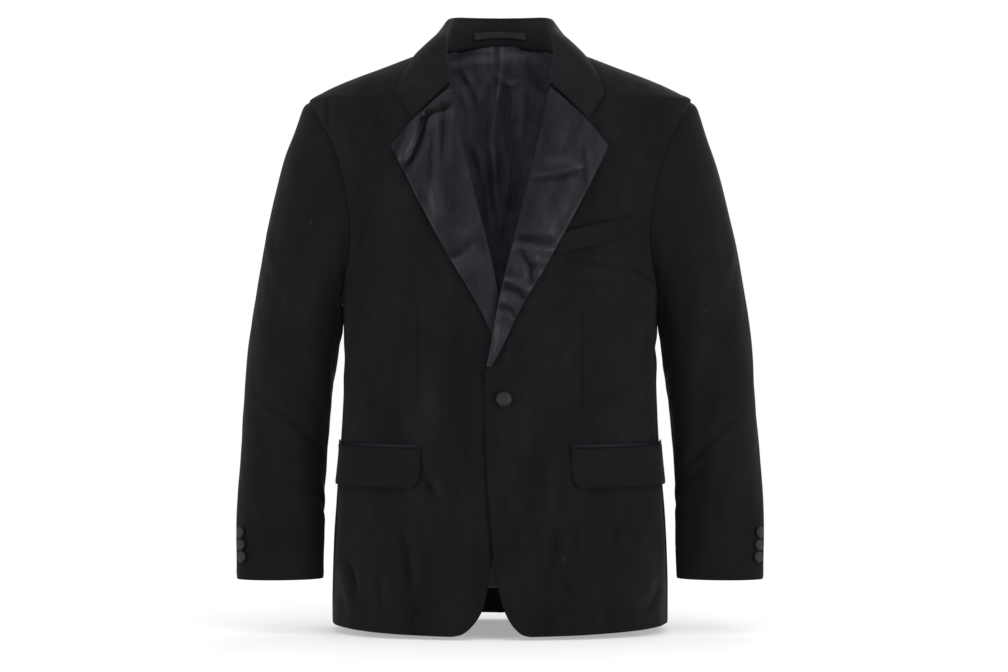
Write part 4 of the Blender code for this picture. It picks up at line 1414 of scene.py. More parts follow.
@dataclass
class SleevePanel(ClothPiece):
    """One piece of a two-piece sleeve, between its two seams."""

    first: float = 0.0
    last: float = 1.0
    sleeve: SleeveForm = field(default_factory=SleeveForm)
    folds: tuple[SoftFold, ...] = (
        SoftFold(0.50, 0.36, 0.0015, 0.16, 0.028, 0.55),
        SoftFold(0.58, 0.40, 0.0013, 0.15, 0.026, 0.40),
        SoftFold(0.66, 0.34, 0.0012, 0.13, 0.028, -0.35),
        SoftFold(0.42, 0.70, 0.0013, 0.14, 0.030, -0.45),
        SoftFold(0.60, 0.66, 0.0013, 0.14, 0.028, 0.35),
        SoftFold(0.85, 0.44, 0.0020, 0.12, 0.030, 0.50),
    )
    head_roll: float = 0.0012
    head_at: float = 0.020
    head_width: float = 0.020
    head_sink: float = 0.0020
    sink_width: float = 0.010
    seam_reach: float = 0.012
    facing_power: int = 4
    fold_fade: Fade = Fade(0.15, 0.08)
    tuck: float = 0.0008
    seat: float = 0.0008
    calm_across: Fade = Fade(0.05, 0.05)
    calm_along: Fade = Fade(0.08, 0.04, 0.03)
    shaded_from: float = -0.180
    shaded_over: float = 0.050
    shaded_within: float = 0.0060
    facing: Array = field(init=False, repr=False)

    def sample(self, u: Array) -> Array:
        """Where round the sleeve each share across the piece lies."""
        press = SEAM_PRESS / self.sleeve.girth * self.form.samples
        return blend(self.first - press, self.last + press, u)

    def place(self, u: Array, v: Array) -> tuple[Array, Array]:
        """Places and normals of the piece of sleeve, from the armhole at 0 to the cuff at 1."""
        sample = self.sample(u)
        points, normals = self.sleeve.point(sample, v), self.sleeve.normal(sample, v)
        away, body_out = self.sleeve.off_the_seam(sample)
        same_way = dot(normals, body_out)
        turned = 1 - ease((same_way + 0.5) / 0.8)
        self.facing = np.clip(same_way[:, 0], 0.0, 1.0) ** self.facing_power
        at_seam = np.maximum(0.0, 1 - v / self.seam_reach)[:, None]
        points = points - (body_out * self.seat * turned + away * self.tuck) * at_seam
        return mirrored(points, self.side), mirrored(normals, self.side)

    def shade(self, points: Array) -> Array:
        """Painted shade on the sleeve where it lies against the body."""
        # painted shade: a contact shadow near the body, below the armhole
        below = ease((self.shaded_from - points[:, 2]) / self.shaded_over)
        return hump(self.form.body.off(points)[0][:, 0] / self.shaded_within) * below

    def view(self, u: Array, v: Array, points: Array) -> tuple[Array, Array]:
        """Creases are drawn on the sleeve laid flat: metres round it, then metres down from the head."""
        return self.sample(u) / self.form.samples * self.sleeve.girth, -v * self.cut.length

    def swell(self, u: Array, v: Array, points: Array) -> Array:
        """Soft folds, and the head of the sleeve standing up beside its seam."""
        turn = (self.sample(u) / self.form.samples) % 1.0
        out = np.zeros_like(u)
        for fold in self.folds:
            away = (turn - fold.turn + 0.5) % 1.0 - 0.5
            across = v - fold.along - fold.slope * away
            out -= fold.depth * hump(away / fold.half_length) * hump(across / fold.half_width)
        out = out * self.fold_fade.at(v)
        high = ease((np.cos(TURN * turn) + 0.3) / 0.8)
        head = self.head_roll * hump((v - self.head_at) / self.head_width) * high
        return out + (head - self.head_sink * hump(v / self.sink_width)) * self.facing


@dataclass
class SatinLapel(ClothPiece):
    """One satin lapel, rolled round the edge of its front and laid back on the chest."""

    belly: float = 0.0022
    rest: float = 0.0027
    notch_at: float = 0.62
    gorge_bow: float = 0.0044
    leaf_start: float = 0.0012
    right_start: float = 1.05
    roll_share: float = 0.15
    roll_turns: tuple[float, ...] = (-75.0, -35.0, 0.0, 35.0, 65.0)
    leaf_keys: int = 6
    calm_across: Fade = Fade(0.14, 0.0, 0.04)
    calm_along: Fade = Fade(0.01, 0.015)

    @cached_property
    def tracks(self) -> list[Track]:
        """Each column of the lapel's table over its rows."""
        return [Track(range(len(LAPEL)), [row[k] for row in LAPEL]) for k in range(4)]

    def place(self, u: Array, v: Array) -> tuple[Array, Array]:
        """Places and normals, from the break at 0 to the gorge at 1."""
        form, side, last = self.form, self.side, len(LAPEL) - 1
        at = blend(0.0 if side > 0 else self.right_start, last, v)
        roll_x, roll_z, edge_x, edge_z = (track(at) for track in self.tracks)
        start_x = roll_x + ROLL_RADIUS
        centre, normal = form.on_front(start_x, roll_z, side, -CLOTH / 2)
        across = np.broadcast_to(np.array((-1.0 * side, 0.0, 0.0)), normal.shape)
        across = unit(across - normal * dot(normal, across))
        places, ways = [], []
        for turn in self.roll_turns:
            a = math.radians(turn)
            way = across * math.cos(a) + normal * math.sin(a)
            places.append(centre + way * ROLL_RADIUS)
            ways.append(way)
        for k in range(self.leaf_keys):
            share = k / (self.leaf_keys - 1)
            x = blend(start_x + self.leaf_start, edge_x, share)
            bow = min(share / self.notch_at, (1 - share) / (1 - self.notch_at))
            z = blend(roll_z, edge_z, share) + self.gorge_bow * bow * (at / last) ** 6
            floor = SATIN + SEAM_GAP * 1.5
            lift = floor + self.belly * math.sin(math.pi * min(1, share * 1.2 + 0.05))
            lift = max(lift, float(blend(floor, SATIN + self.rest, ease(share * 1.6))))
            place, way = form.on_front(x, z, side, lift)
            places.append(place)
            ways.append(way)
        rolled = len(self.roll_turns)
        knee = rolled - 0.5
        key = np.where(
            u < self.roll_share,
            u / self.roll_share * knee,
            knee + (u - self.roll_share) / (1 - self.roll_share) * (len(places) - 1 - knee),
        )
        key = np.minimum(key, len(places) - 1)
        return through(np.stack(places, axis=1), key), unit(through(np.stack(ways, axis=1), key))


@dataclass
class RolledCollar(ClothPiece):
    """The collar: its stand, fold and fall, from the right gorge round the neck to the left one."""

    fold_radius: float = 0.0043
    tuck: float = 0.0028
    rest: float = 0.0026
    belly: float = 0.0012
    step: float = 1 / 32
    stand_shares: tuple[float, ...] = (0.0, 0.5)
    fold_turns: tuple[float, ...] = (180.0, 120.0, 60.0, 0.0)
    fall_shares: tuple[float, ...] = (0.25, 0.5, 0.75, 1.0)
    calm_across: Fade = Fade(0.02, 0.02)
    calm_along: Fade = Fade(0.15, 0.0, 0.55)

    def lines(self, along: Array) -> tuple[Array, Array, Array]:
        """The three lines that the collar is drawn through.

        Args:
            along: shares from the right gorge to the left one.

        Returns:
            Places on its neck seam, its fold and its outer edge.
        """
        last = len(self.form.collar) - 1
        at = last * (1 - np.abs(2 * along - 1))
        way = np.where(along < 0.5, -1.0, 1.0)[:, None]
        flip = np.concatenate((way, np.ones_like(way), np.ones_like(way)), axis=1)
        columns = [track(at) for track in self.form.collar_tracks]
        neck, fold, edge = (np.stack(columns[k : k + 3], axis=-1) for k in (0, 3, 6))
        notch, tip = (np.array(self.form.collar[k][6:]) for k in (0, 1))
        edge = np.where(at[:, None] < 1, blend(notch, tip, at[:, None]), edge)
        body = self.form.body
        neck = body.brought_to(neck, -CLOTH / 2)
        fold = body.brought_to(fold, -CLOTH / 2, only_out=True)
        edge = body.brought_to(edge, self.rest)
        return neck * flip, fold * flip, edge * flip

    def frames(self, along: Array) -> tuple[Array, ...]:
        """Neck seam, fold, edge, and the directions out, down and round at each share."""
        neck, fold, edge = self.lines(along)
        after, before = np.minimum(along + self.step, 1.0), np.maximum(along - self.step, 0.0)
        tangent = unit(self.lines(after)[1] - self.lines(before)[1])
        down = edge - fold
        down = unit(down - tangent * dot(down, tangent))
        out = np.cross(tangent, down)
        out = out * np.where(dot(out, self.form.body.off(edge)[1]) > 0, 1.0, -1.0)
        return neck, fold, edge, out, down, tangent

    def stand(self, frames: tuple[Array, ...], share: float) -> Array:
        """Places on the stand's inner face, from its neck seam to the fold."""
        neck, fold, _, out, down, _ = frames
        tuck = np.maximum(0.0, self.tuck - np.linalg.norm(fold - neck, axis=1, keepdims=True))
        return blend(neck + down * tuck, fold, share) - out * self.fold_radius

    def place(self, u: Array, v: Array) -> tuple[Array, Array]:
        """Places and normals: across is round the neck, along is up the stand and down the fall."""
        frames = self.frames(u)
        _, fold, edge, out, down, tangent = frames
        places = [self.stand(frames, share) for share in self.stand_shares]
        ways = [-out for _ in places]
        for turn in self.fold_turns:
            a = math.radians(turn)
            way = out * math.cos(a) - down * math.sin(a)
            places.append(fold + way * self.fold_radius)
            ways.append(way)
        fall_top = fold + out * self.fold_radius
        run = edge - fall_top
        face = unit(np.cross(run, tangent))
        face = face * np.where(dot(face, out) > 0, 1.0, -1.0)
        for share in self.fall_shares:
            belly = self.belly * math.sin(math.pi * share)
            place = self.form.body.brought_to(fall_top + run * share + face * belly, self.rest, only_out=True)
            places.append(place)
            ways.append(face)
        key = Track((0.0, 0.20, 0.50, 1.0), (0.0, 2.0, 5.0, 9.0))(v)
        return through(np.stack(places, axis=1), key), unit(through(np.stack(ways, axis=1), key))


@dataclass
class HipPocket(ClothPiece):
    """What the flap and the jetting of a hip pocket share: where the pocket's mouth lies."""

    top_front: float = -0.4656
    top_back: float = -0.4640
    left_x: float = 0.0885
    right_x: float = 0.0983
    back_angle: float = math.radians(92.0)
    reach: float = 0.180

    @cached_property
    def front_angle(self) -> float:
        """Where the pocket begins."""
        x = self.left_x if self.side > 0 else self.right_x
        return float(self.form.body.angle_at(np.array(x), np.array(self.top_front)))

    def mouth(self, u: Array) -> tuple[Array, Array]:
        """Angle and height along the pocket's mouth."""
        return blend(self.front_angle, self.back_angle, u), blend(self.top_front, self.top_back, u)


@dataclass
class Flap(HipPocket):
    """A pocket flap with round lower corners."""

    depth: float = 0.0500
    corner: float = 0.0150
    flare: float = 0.0012
    calm_across: Fade = Fade(0.0, 0.0)
    calm_along: Fade = Fade(0.2, 0.0)

    def place(self, u: Array, v: Array) -> tuple[Array, Array]:
        """Places and normals, from the front end to the back and from the top edge down."""
        angle, top = self.mouth(u)
        run = np.minimum(u, 1 - u) * (self.back_angle - self.front_angle) * self.reach
        short = np.maximum(self.corner - run, 0.0)
        cut = self.corner - np.sqrt(np.maximum(self.corner**2 - short**2, 0.0))
        lift = LAID_GAP + self.thickness + self.flare * v**2
        return self.form.on(angle, top - (self.depth - cut) * v, self.side, lift)


class Doubled(NamedTuple):
    """A narrow strip folded double: its height when folded, and the radius of its fold."""

    height: float
    radius: float

    @property
    def length(self) -> float:
        """The strip's width before it was folded."""
        return 2 * (self.height - self.radius) + math.pi * self.radius

    def path(self, v: Array) -> tuple[Array, Array, Array, Array]:
        """Down and out along the strip, then the same for its normal: down the face, round and up behind."""
        straight, run = self.height - self.radius, v * self.length
        turn = np.clip((run - straight) / self.radius, 0.0, math.pi)
        behind = np.maximum(run - straight - math.pi * self.radius, 0.0)
        down = np.minimum(run, straight) + self.radius * np.sin(turn) - behind
        return down, -self.radius * (1 - np.cos(turn)), np.sin(turn), np.cos(turn)


@dataclass
class Jetting(HipPocket):
    """The satin jetting over a flap: a strip folded double, with its fold downwards."""

    strip: Doubled = Doubled(0.0050, 0.0007)
    above: float = 0.0053
    lift: float = LAID_GAP + 0.0016

    def place(self, u: Array, v: Array) -> tuple[Array, Array]:
        """Places and normals, from the front end to the back and round the strip's fold."""
        down, out, normal_down, normal_out = self.strip.path(v)
        angle, top = self.mouth(u)
        points, normals = self.form.on(angle, top + self.above - down, self.side, self.lift + out)
        drop = np.array((0.0, 0.0, -1.0))
        drop = unit(drop - normals * dot(normals, drop))
        return points, normals * normal_out[:, None] + drop * normal_down[:, None]


@dataclass
class BreastWelt(ClothPiece):
    """The welt of the breast pocket, on the left front."""

    back_x: float = 0.1655
    front_x: float = 0.0680
    back_height: float = -0.1735
    front_height: float = -0.1975
    depth: float = 0.0265

    def place(self, u: Array, v: Array) -> tuple[Array, Array]:
        """Places and normals, from under the lapel to the pocket's end and from the top edge down."""
        x = blend(self.front_x, self.back_x, u)
        height = blend(self.front_height, self.back_height, u) - self.depth * v
        return self.form.on_front(x, height, self.side, LAID_GAP + self.thickness)


@dataclass
class HangerLoop(ClothPiece):
    """The plain loop sewn inside the collar's stand."""

    collar: RolledCollar | None = None
    strip: Doubled = Doubled(0.0080, 0.0006)
    width: float = 0.0680
    low: float = 0.31
    high: float = 0.58
    bow: float = 0.0008
    wall: float = 0.0012
    reach: float = 3 / 16
    steps: int = 25

    def place(self, u: Array, v: Array) -> tuple[Array, Array]:
        """Places and normals of the loop, facing into the neck and round the strip's fold."""
        down, out, normal_down, normal_out = self.strip.path(v)
        along = np.linspace(0.5 - self.reach, 0.5 + self.reach, self.steps)
        frames = self.collar.frames(along)
        x = self.width * (u - 0.5)
        lows, highs = self.collar.stand(frames, self.low), self.collar.stand(frames, self.high)
        low_y, low_z = (Track(lows[:, 0], lows[:, k])(x) for k in (1, 2))
        high_y, high_z = (Track(highs[:, 0], highs[:, k])(x) for k in (1, 2))
        share = down / self.strip.height
        slack = self.bow * (1 - (2 * x / self.width) ** 4)
        y = blend(high_y, low_y, share) - LAID_GAP - self.wall - slack - out
        points = np.stack((x, y, blend(high_z, low_z, share)), axis=-1)
        normals = np.stack((np.zeros_like(x), -normal_out, -normal_down), axis=-1)
        return points, normals


@dataclass
class CoveredButton:
    """A button covered in drawn satin: a domed face over a thin edge, gathered behind."""

    name: str
    node: str
    place: Array
    facing: Array
    finish: ButtonFinish
    diameter: float = 0.0200
    dome: float = 0.0044
    outline: tuple[tuple[float, float], ...] = (
        (0.0, 1.0),
        (0.22, 0.985),
        (0.45, 0.945),
        (0.66, 0.87),
        (0.83, 0.75),
        (0.94, 0.60),
        (0.995, 0.42),
        (0.97, 0.24),
        (0.88, 0.10),
        (0.62, 0.04),
        (0.0, 0.0),
    )
    turns: int = 48
    pucker: float = 0.012
    puckers: int = 12

    def built(self) -> bpy.types.Object:
        """The button, spun from its outline and set square to the cloth."""
        made = bmesh.new()
        radius = self.diameter / 2
        verts = [made.verts.new((across * radius, 0.0, high * self.dome)) for across, high in self.outline]
        edges = [made.edges.new(pair) for pair in zip(verts, verts[1:])]
        bmesh.ops.spin(
            made,
            geom=verts + edges,
            cent=(0, 0, 0),
            axis=(0, 0, 1),
            angle=TURN,
            steps=self.turns,
            use_merge=True,
        )
        bmesh.ops.remove_doubles(made, verts=made.verts, dist=TINY)
        bmesh.ops.recalc_face_normals(made, faces=made.faces)
        layer = made.loops.layers.uv.new("cloth")
        for face in made.faces:
            for loop in face.loops:
                loop[layer].uv = loop.vert.co.xy * (UV_RADIUS / radius)
        for vert in made.verts:
            reach = vert.co.xy.length / radius
            angle = math.atan2(vert.co.y, vert.co.x)
            vert.co.xy *= 1 + self.pucker * math.sin(angle * self.puckers) * reach**4
        turned = Vector((0, 0, 1)).rotation_difference(Vector(self.facing)).to_matrix().to_4x4()
        bmesh.ops.transform(made, matrix=turned, verts=made.verts)
        bmesh.ops.translate(made, vec=Vector(self.place), verts=made.verts)
        mesh = bpy.data.meshes.new(self.name)
        made.to_mesh(mesh)
        made.free()
        mesh.shade_smooth()
        piece = placed(self.name, mesh, self.finish, self.node)
        log.info("%s: covered button", self.name)
        return piece


@dataclass(frozen=True)
class Lamp:
    """One soft light of the studio."""

    name: str
    place: tuple[float, float, float]
    aim: tuple[float, float, float]
    size: tuple[float, float]
    power: float


@dataclass(frozen=True)
class Studio:
    """A plain pale floor, an even sky and soft lights, with the camera of the picture."""

    floor_z: float = -0.7030
    floor_size: float = 3.0
    floor_glow: float = 0.33
    sky: float = 0.76
    lens: float = 105.2
    eye: tuple[float, float, float] = (0.005, -3.8, -0.325)
    lamps: tuple[Lamp, ...] = (
        Lamp("front", (0.0, -4.6, -0.3), (0.0, 0.0, -0.45), (2.4, 0.7), 10.0),
        Lamp("key", (1.6, -2.6, 1.5), (0.0, 0.0, -0.30), (1.2, 1.2), 15.0),
        Lamp("left_flank", (-2.5, -1.9, -0.35), (0.0, 0.0, -0.50), (1.4, 1.2), 58.0),
        Lamp("right_flank", (2.5, -1.9, -0.35), (0.0, 0.0, -0.50), (1.4, 1.2), 58.0),
        Lamp("behind", (0.6, 3.2, 1.3), (0.0, 0.0, -0.30), (1.8, 1.8), 40.0),
        Lamp("above", (0.0, -0.2, 2.6), (0.0, 0.0, -0.2), (2.4, 2.4), 11.0),
    )

    def build(self) -> None:
        """Sets up the floor, the sky, the lamps and the camera."""
        self.camera()
        self.floor()
        self.light_the_sky()
        for lamp in self.lamps:
            self.light(lamp)
        bpy.context.scene.view_settings.view_transform = "Standard"

    def camera(self) -> None:
        """The level camera of the picture."""
        lens = bpy.data.cameras.new("front_view")
        lens.lens = self.lens
        lens.sensor_width = 36.0
        lens.clip_end = 60.0
        made = bpy.data.objects.new("front_view", lens)
        made.location = self.eye
        made.rotation_euler = (QUARTER, 0.0, 0.0)
        bpy.context.scene.collection.objects.link(made)
        bpy.context.scene.camera = made

    def floor(self) -> None:
        """The pale floor just under the hem."""
        tree = FinishTree("pale_floor")
        material = tree.shade(
            Base_Color=grey(0.70),
            Roughness=0.9,
            Specular_IOR_Level=0.0,
            Emission_Color=grey(1.0),
            Emission_Strength=self.floor_glow,
        )
        made = bmesh.new()
        bmesh.ops.create_grid(made, x_segments=8, y_segments=8, size=self.floor_size / 2)
        bmesh.ops.translate(made, vec=(0.0, 0.0, self.floor_z), verts=made.verts)
        mesh = bpy.data.meshes.new("floor")
        made.to_mesh(mesh)
        made.free()
        mesh.materials.append(material)
        plane = bpy.data.objects.new("floor", mesh)
        bpy.context.scene.collection.objects.link(plane)

    def light_the_sky(self) -> None:
        """An even pale sky, white where the camera looks at it."""
        world = bpy.data.worlds.new("studio_sky")
        bpy.context.scene.world = world
        world.use_nodes = True
        nodes, links = world.node_tree.nodes, world.node_tree.links
        nodes.clear()
        path = nodes.new("ShaderNodeLightPath")
        even, white = nodes.new("ShaderNodeBackground"), nodes.new("ShaderNodeBackground")
        even.inputs["Color"].default_value = grey(1.0)
        even.inputs["Strength"].default_value = self.sky
        white.inputs["Color"].default_value = grey(1.0)
        mix, out = nodes.new("ShaderNodeMixShader"), nodes.new("ShaderNodeOutputWorld")
        links.new(path.outputs["Is Camera Ray"], mix.inputs[0])
        links.new(even.outputs[0], mix.inputs[1])
        links.new(white.outputs[0], mix.inputs[2])
        links.new(mix.outputs[0], out.inputs["Surface"])

    def light(self, lamp: Lamp) -> None:
        """One soft area light, aimed at the jacket."""
        data = bpy.data.lights.new(lamp.name, "AREA")
        data.shape = "RECTANGLE"
        data.size, data.size_y = lamp.size
        data.energy = lamp.power
        made = bpy.data.objects.new(lamp.name, data)
        made.location = lamp.place
        way = Vector(lamp.aim) - Vector(lamp.place)
        made.rotation_euler = way.to_track_quat("-Z", "Y").to_euler()
        bpy.context.scene.collection.objects.link(made)


LAPEL_CREASES = {
    -1: (
        Crease(-0.0934, -0.0369, -0.1203, -0.1159, 0.0035, 0.0051, 0.004, TROUGH),
        Crease(-0.1033, -0.0481, -0.1259, -0.1074, 0.0032, 0.0059, 0.004, RIDGE),
        Crease(-0.061, -0.034, -0.0977, -0.051, 0.0038, 0.0051, -0.003, TROUGH),
        Crease(-0.0723, -0.0369, -0.0765, -0.1074, 0.0018, 0.0043, 0.001, TROUGH),
        Crease(-0.0821, -0.0566, -0.0864, -0.1526, 0.0019, 0.0051, 0.001, STEP),
        Crease(-0.0327, -0.2077, -0.061, -0.2289, 0.0021, 0.0051, 0.003, STEP),
        Crease(-0.044, -0.2006, -0.0243, -0.1752, 0.0013, 0.0085, 0.0, RIDGE),
        Crease(-0.0186, -0.2261, -0.0581, -0.243, 0.001, 0.0102, 0.0, RIDGE),
        Crease(-0.0892, -0.1272, -0.0751, -0.1752, 0.0011, 0.0085, 0.0, RIDGE),
    ),
    1: (
        Crease(0.0379, -0.1272, 0.1, -0.1145, 0.0022, 0.0043, -0.003, STEP),
        Crease(0.0548, -0.106, 0.1056, -0.1103, 0.0014, 0.0068, 0.002, RIDGE),
        Crease(0.0153, -0.2105, 0.0718, -0.2176, 0.0026, 0.0043, -0.002, RIDGE),
        Crease(0.0209, -0.2035, 0.0661, -0.2063, 0.0016, 0.0051, 0.0, TROUGH),
        Crease(0.0252, -0.2133, 0.0407, -0.2571, 0.0022, 0.0047, 0.001, TROUGH),
        Crease(0.035, -0.2373, 0.0605, -0.2317, 0.0019, 0.0051, -0.002, TROUGH),
        Crease(0.0026, -0.2599, 0.0322, -0.2769, 0.0032, 0.0043, 0.002, TROUGH),
        Crease(0.004, -0.2529, 0.0379, -0.2698, 0.0019, 0.0051, 0.002, RIDGE),
        Crease(-0.0017, -0.2868, 0.0195, -0.3023, 0.0022, 0.0034, 0.004, TROUGH),
        Crease(0.1056, -0.0877, 0.1085, -0.13, 0.0013, 0.0051, 0.0, STEP),
        Crease(0.0831, -0.1526, 0.0548, -0.1922, 0.0008, 0.0102, 0.0, RIDGE),
        Crease(-0.0073, -0.3079, 0.0068, -0.3277, 0.001, 0.0068, 0.0, RIDGE),
    ),
}
FRONT_CREASES = {
    1: (
        Crease(0.0707, -0.228, 0.1491, -0.241, 0.0015, 0.0033, 0.002, TROUGH),
        Crease(0.0772, -0.2476, 0.1753, -0.2541, 0.001, 0.0045, 0.002, RIDGE),
        Crease(0.0707, -0.2149, 0.123, -0.2214, 0.001, 0.0028, 0.001, TROUGH),
        Crease(0.1622, -0.2378, 0.1949, -0.2607, 0.0015, 0.0033, 0.002, TROUGH),
        Crease(0.0183, -0.3587, 0.1034, -0.2868, 0.001, 0.0078, 0.0, RIDGE),
        Crease(0.1099, -0.4176, 0.1753, -0.3849, 0.001, 0.0067, 0.0, TROUGH),
        Crease(0.0837, -0.4699, 0.0772, -0.5615, 0.0015, 0.0056, -0.004, TROUGH),
        Crease(0.0704, -0.566, 0.0622, -0.6199, 0.0017, 0.005, 0.003, TROUGH),
        Crease(0.0787, -0.6282, 0.0953, -0.6613, 0.0015, 0.005, 0.002, TROUGH),
        Crease(0.0953, -0.6075, 0.1201, -0.624, 0.0012, 0.0045, 0.0, RIDGE),
        Crease(0.087, -0.5329, 0.0787, -0.566, 0.0011, 0.005, 0.0, RIDGE),
        Crease(0.1491, -0.5536, 0.145, -0.5868, 0.0011, 0.0056, 0.0, TROUGH),
        Crease(0.203, -0.6365, 0.1823, -0.6737, 0.002, 0.0056, 0.003, TROUGH),
        Crease(0.1905, -0.6282, 0.174, -0.6613, 0.0012, 0.0045, 0.003, RIDGE),
        Crease(0.0746, -0.4998, 0.0539, -0.5536, 0.0012, 0.0067, 0.0, RIDGE),
        Crease(0.0207, -0.5329, 0.0373, -0.6033, 0.001, 0.01, 0.0, RIDGE),
    ),
    -1: (
        Crease(-0.0973, -0.5039, -0.0745, -0.5329, 0.002, 0.0039, 0.003, TROUGH),
        Crease(-0.0787, -0.5081, -0.0683, -0.5536, 0.0015, 0.0056, 0.0, RIDGE),
        Crease(-0.1221, -0.5702, -0.1139, -0.6447, 0.0017, 0.0056, 0.003, TROUGH),
        Crease(-0.1097, -0.566, -0.1035, -0.6365, 0.0012, 0.0056, 0.0, RIDGE),
        Crease(-0.1532, -0.6199, -0.1491, -0.6737, 0.0019, 0.0045, 0.001, TROUGH),
        Crease(-0.1035, -0.6613, -0.1118, -0.6862, 0.0012, 0.0045, 0.0, TROUGH),
        Crease(-0.1946, -0.6075, -0.1822, -0.6489, 0.0022, 0.005, 0.003, TROUGH),
        Crease(-0.2029, -0.624, -0.1905, -0.6654, 0.0015, 0.005, 0.0, RIDGE),
        Crease(-0.1739, -0.5495, -0.1615, -0.5868, 0.001, 0.0067, 0.0, TROUGH),
        Crease(-0.0869, -0.4542, -0.0828, -0.4998, 0.0011, 0.0056, 0.0, TROUGH),
        Crease(-0.2173, -0.0253, -0.2173, -0.061, 0.0016, 0.0037, 0.0, TROUGH),
        Crease(-0.2236, -0.2999, -0.1975, -0.326, 0.0017, 0.005, 0.0, TROUGH),
        Crease(-0.1942, -0.1037, -0.1909, -0.2214, 0.001, 0.0089, 0.0, RIDGE),
        Crease(-0.0601, -0.326, -0.1386, -0.2737, 0.001, 0.0089, 0.0, RIDGE),
        Crease(-0.1778, -0.4241, -0.1321, -0.3914, 0.001, 0.0067, 0.0, TROUGH),
        Crease(-0.0994, -0.4765, -0.0863, -0.5353, 0.0012, 0.0056, 0.0, TROUGH),
    ),
}
BACK_CREASES = {
    1: (
        Crease(0.03, -0.05, 0.15, -0.11, 0.002, 0.0133, 0.01, TROUGH),
        Crease(0.19, -0.21, 0.09, -0.27, 0.0024, 0.0104, 0.006, TROUGH),
        Crease(0.19, -0.25, 0.1, -0.33, 0.002, 0.0114, 0.006, RIDGE),
        Crease(0.02, -0.37, 0.13, -0.41, 0.002, 0.0104, -0.008, TROUGH),
        Crease(0.06, -0.47, 0.05, -0.65, 0.0024, 0.0133, 0.006, TROUGH),
        Crease(0.13, -0.5, 0.14, -0.67, 0.0024, 0.0123, -0.005, TROUGH),
        Crease(0.095, -0.52, 0.09, -0.66, 0.0017, 0.0114, 0.0, RIDGE),
    ),
    -1: (
        Crease(-0.035, -0.07, -0.155, -0.1, 0.0019, 0.0142, -0.008, TROUGH),
        Crease(-0.19, -0.23, -0.08, -0.28, 0.0024, 0.0104, -0.006, TROUGH),
        Crease(-0.18, -0.27, -0.09, -0.35, 0.0019, 0.0114, -0.004, RIDGE),
        Crease(-0.03, -0.36, -0.14, -0.395, 0.002, 0.0104, 0.008, TROUGH),
        Crease(-0.05, -0.49, -0.065, -0.66, 0.0022, 0.0123, 0.006, TROUGH),
        Crease(-0.125, -0.48, -0.12, -0.66, 0.0024, 0.0133, -0.006, TROUGH),
        Crease(-0.09, -0.53, -0.095, -0.67, 0.0017, 0.0114, 0.0, RIDGE),
    ),
}
SIDE_CREASES = {
    1: (
        Crease(-0.03, -0.33, 0.05, -0.38, 0.0019, 0.01, 0.005, TROUGH),
        Crease(0.01, -0.52, 0.02, -0.67, 0.0022, 0.012, 0.004, TROUGH),
    ),
    -1: (
        Crease(-0.02, -0.35, 0.06, -0.39, 0.0019, 0.01, -0.005, TROUGH),
        Crease(0.0, -0.54, 0.015, -0.68, 0.0022, 0.012, -0.004, TROUGH),
    ),
}
LINING_CREASES = (
    Crease(-0.0047, 0.0581, -0.0047, 0.0245, 0.003, 0.0032, 0.0, TROUGH),
    Crease(-0.0047, 0.0245, -0.0082, -0.0143, 0.0035, 0.004, 0.002, STEP),
    Crease(-0.0051, 0.0091, -0.0141, -0.0721, 0.0038, 0.0045, 0.002, RIDGE),
    Crease(-0.0111, -0.0721, -0.0081, -0.1173, 0.003, 0.0045, 0.002, RIDGE),
    Crease(-0.0171, -0.0992, -0.0111, -0.1654, 0.0027, 0.0045, 0.0, TROUGH),
    Crease(-0.07, 0.0387, -0.0082, 0.0475, 0.0019, 0.0036, 0.003, TROUGH),
    Crease(0.0041, 0.0519, 0.0518, 0.0545, 0.0016, 0.0027, -0.001, TROUGH),
    Crease(-0.0577, 0.0281, -0.0347, -0.0249, 0.0022, 0.0045, 0.004, TROUGH),
    Crease(-0.0506, 0.0316, -0.04, -0.0002, 0.0016, 0.0045, 0.002, RIDGE),
    Crease(-0.0012, 0.0245, 0.0218, 0.0104, 0.0022, 0.004, -0.005, RIDGE),
    Crease(0.0059, 0.0139, 0.0112, -0.0143, 0.0016, 0.0036, 0.0, TROUGH),
    Crease(0.0377, 0.0422, 0.0571, -0.0037, 0.0019, 0.0049, -0.004, TROUGH),
    Crease(-0.0442, -0.0721, -0.0202, -0.1534, 0.003, 0.0054, 0.004, TROUGH),
    Crease(-0.0322, -0.0751, -0.0232, -0.1293, 0.0019, 0.0045, 0.0, RIDGE),
    Crease(0.0069, -0.0029, 0.016, -0.1022, 0.0016, 0.0049, 0.0, TROUGH),
    Crease(-0.0021, -0.0721, 0.0039, -0.1413, 0.0019, 0.004, 0.0, TROUGH),
    Crease(0.025, 0.0001, 0.028, -0.0631, 0.0014, 0.0054, 0.0, RIDGE),
    Crease(-0.0502, 0.0091, -0.0412, -0.027, 0.0016, 0.0054, 0.0, RIDGE),
    Crease(0.016, -0.1142, 0.016, -0.1654, 0.0027, 0.0054, 0.0, TROUGH),
    Crease(-0.0262, -0.1413, -0.0202, -0.1774, 0.0019, 0.0045, 0.0, TROUGH),
    Crease(-0.0259, -0.0249, -0.0118, 0.0104, 0.0019, 0.0045, 0.0, TROUGH),
)
SLEEVE_CREASES = {
    1: (
        Crease(0.02, -0.2, 0.08, -0.26, 0.0011, 0.0086, 0.006, RIDGE),
        Crease(0.0, -0.42, 0.11, -0.52, 0.0015, 0.0065, 0.008, TROUGH),
        Crease(0.06, -0.5, 0.14, -0.56, 0.0017, 0.0058, 0.005, TROUGH),
    ),
    -1: (
        Crease(0.01, -0.18, 0.08, -0.25, 0.0011, 0.0094, 0.006, RIDGE),
        Crease(0.01, -0.4, 0.12, -0.49, 0.0015, 0.0065, 0.008, TROUGH),
        Crease(0.08, -0.52, 0.145, -0.57, 0.0019, 0.0058, 0.005, TROUGH),
    ),
}


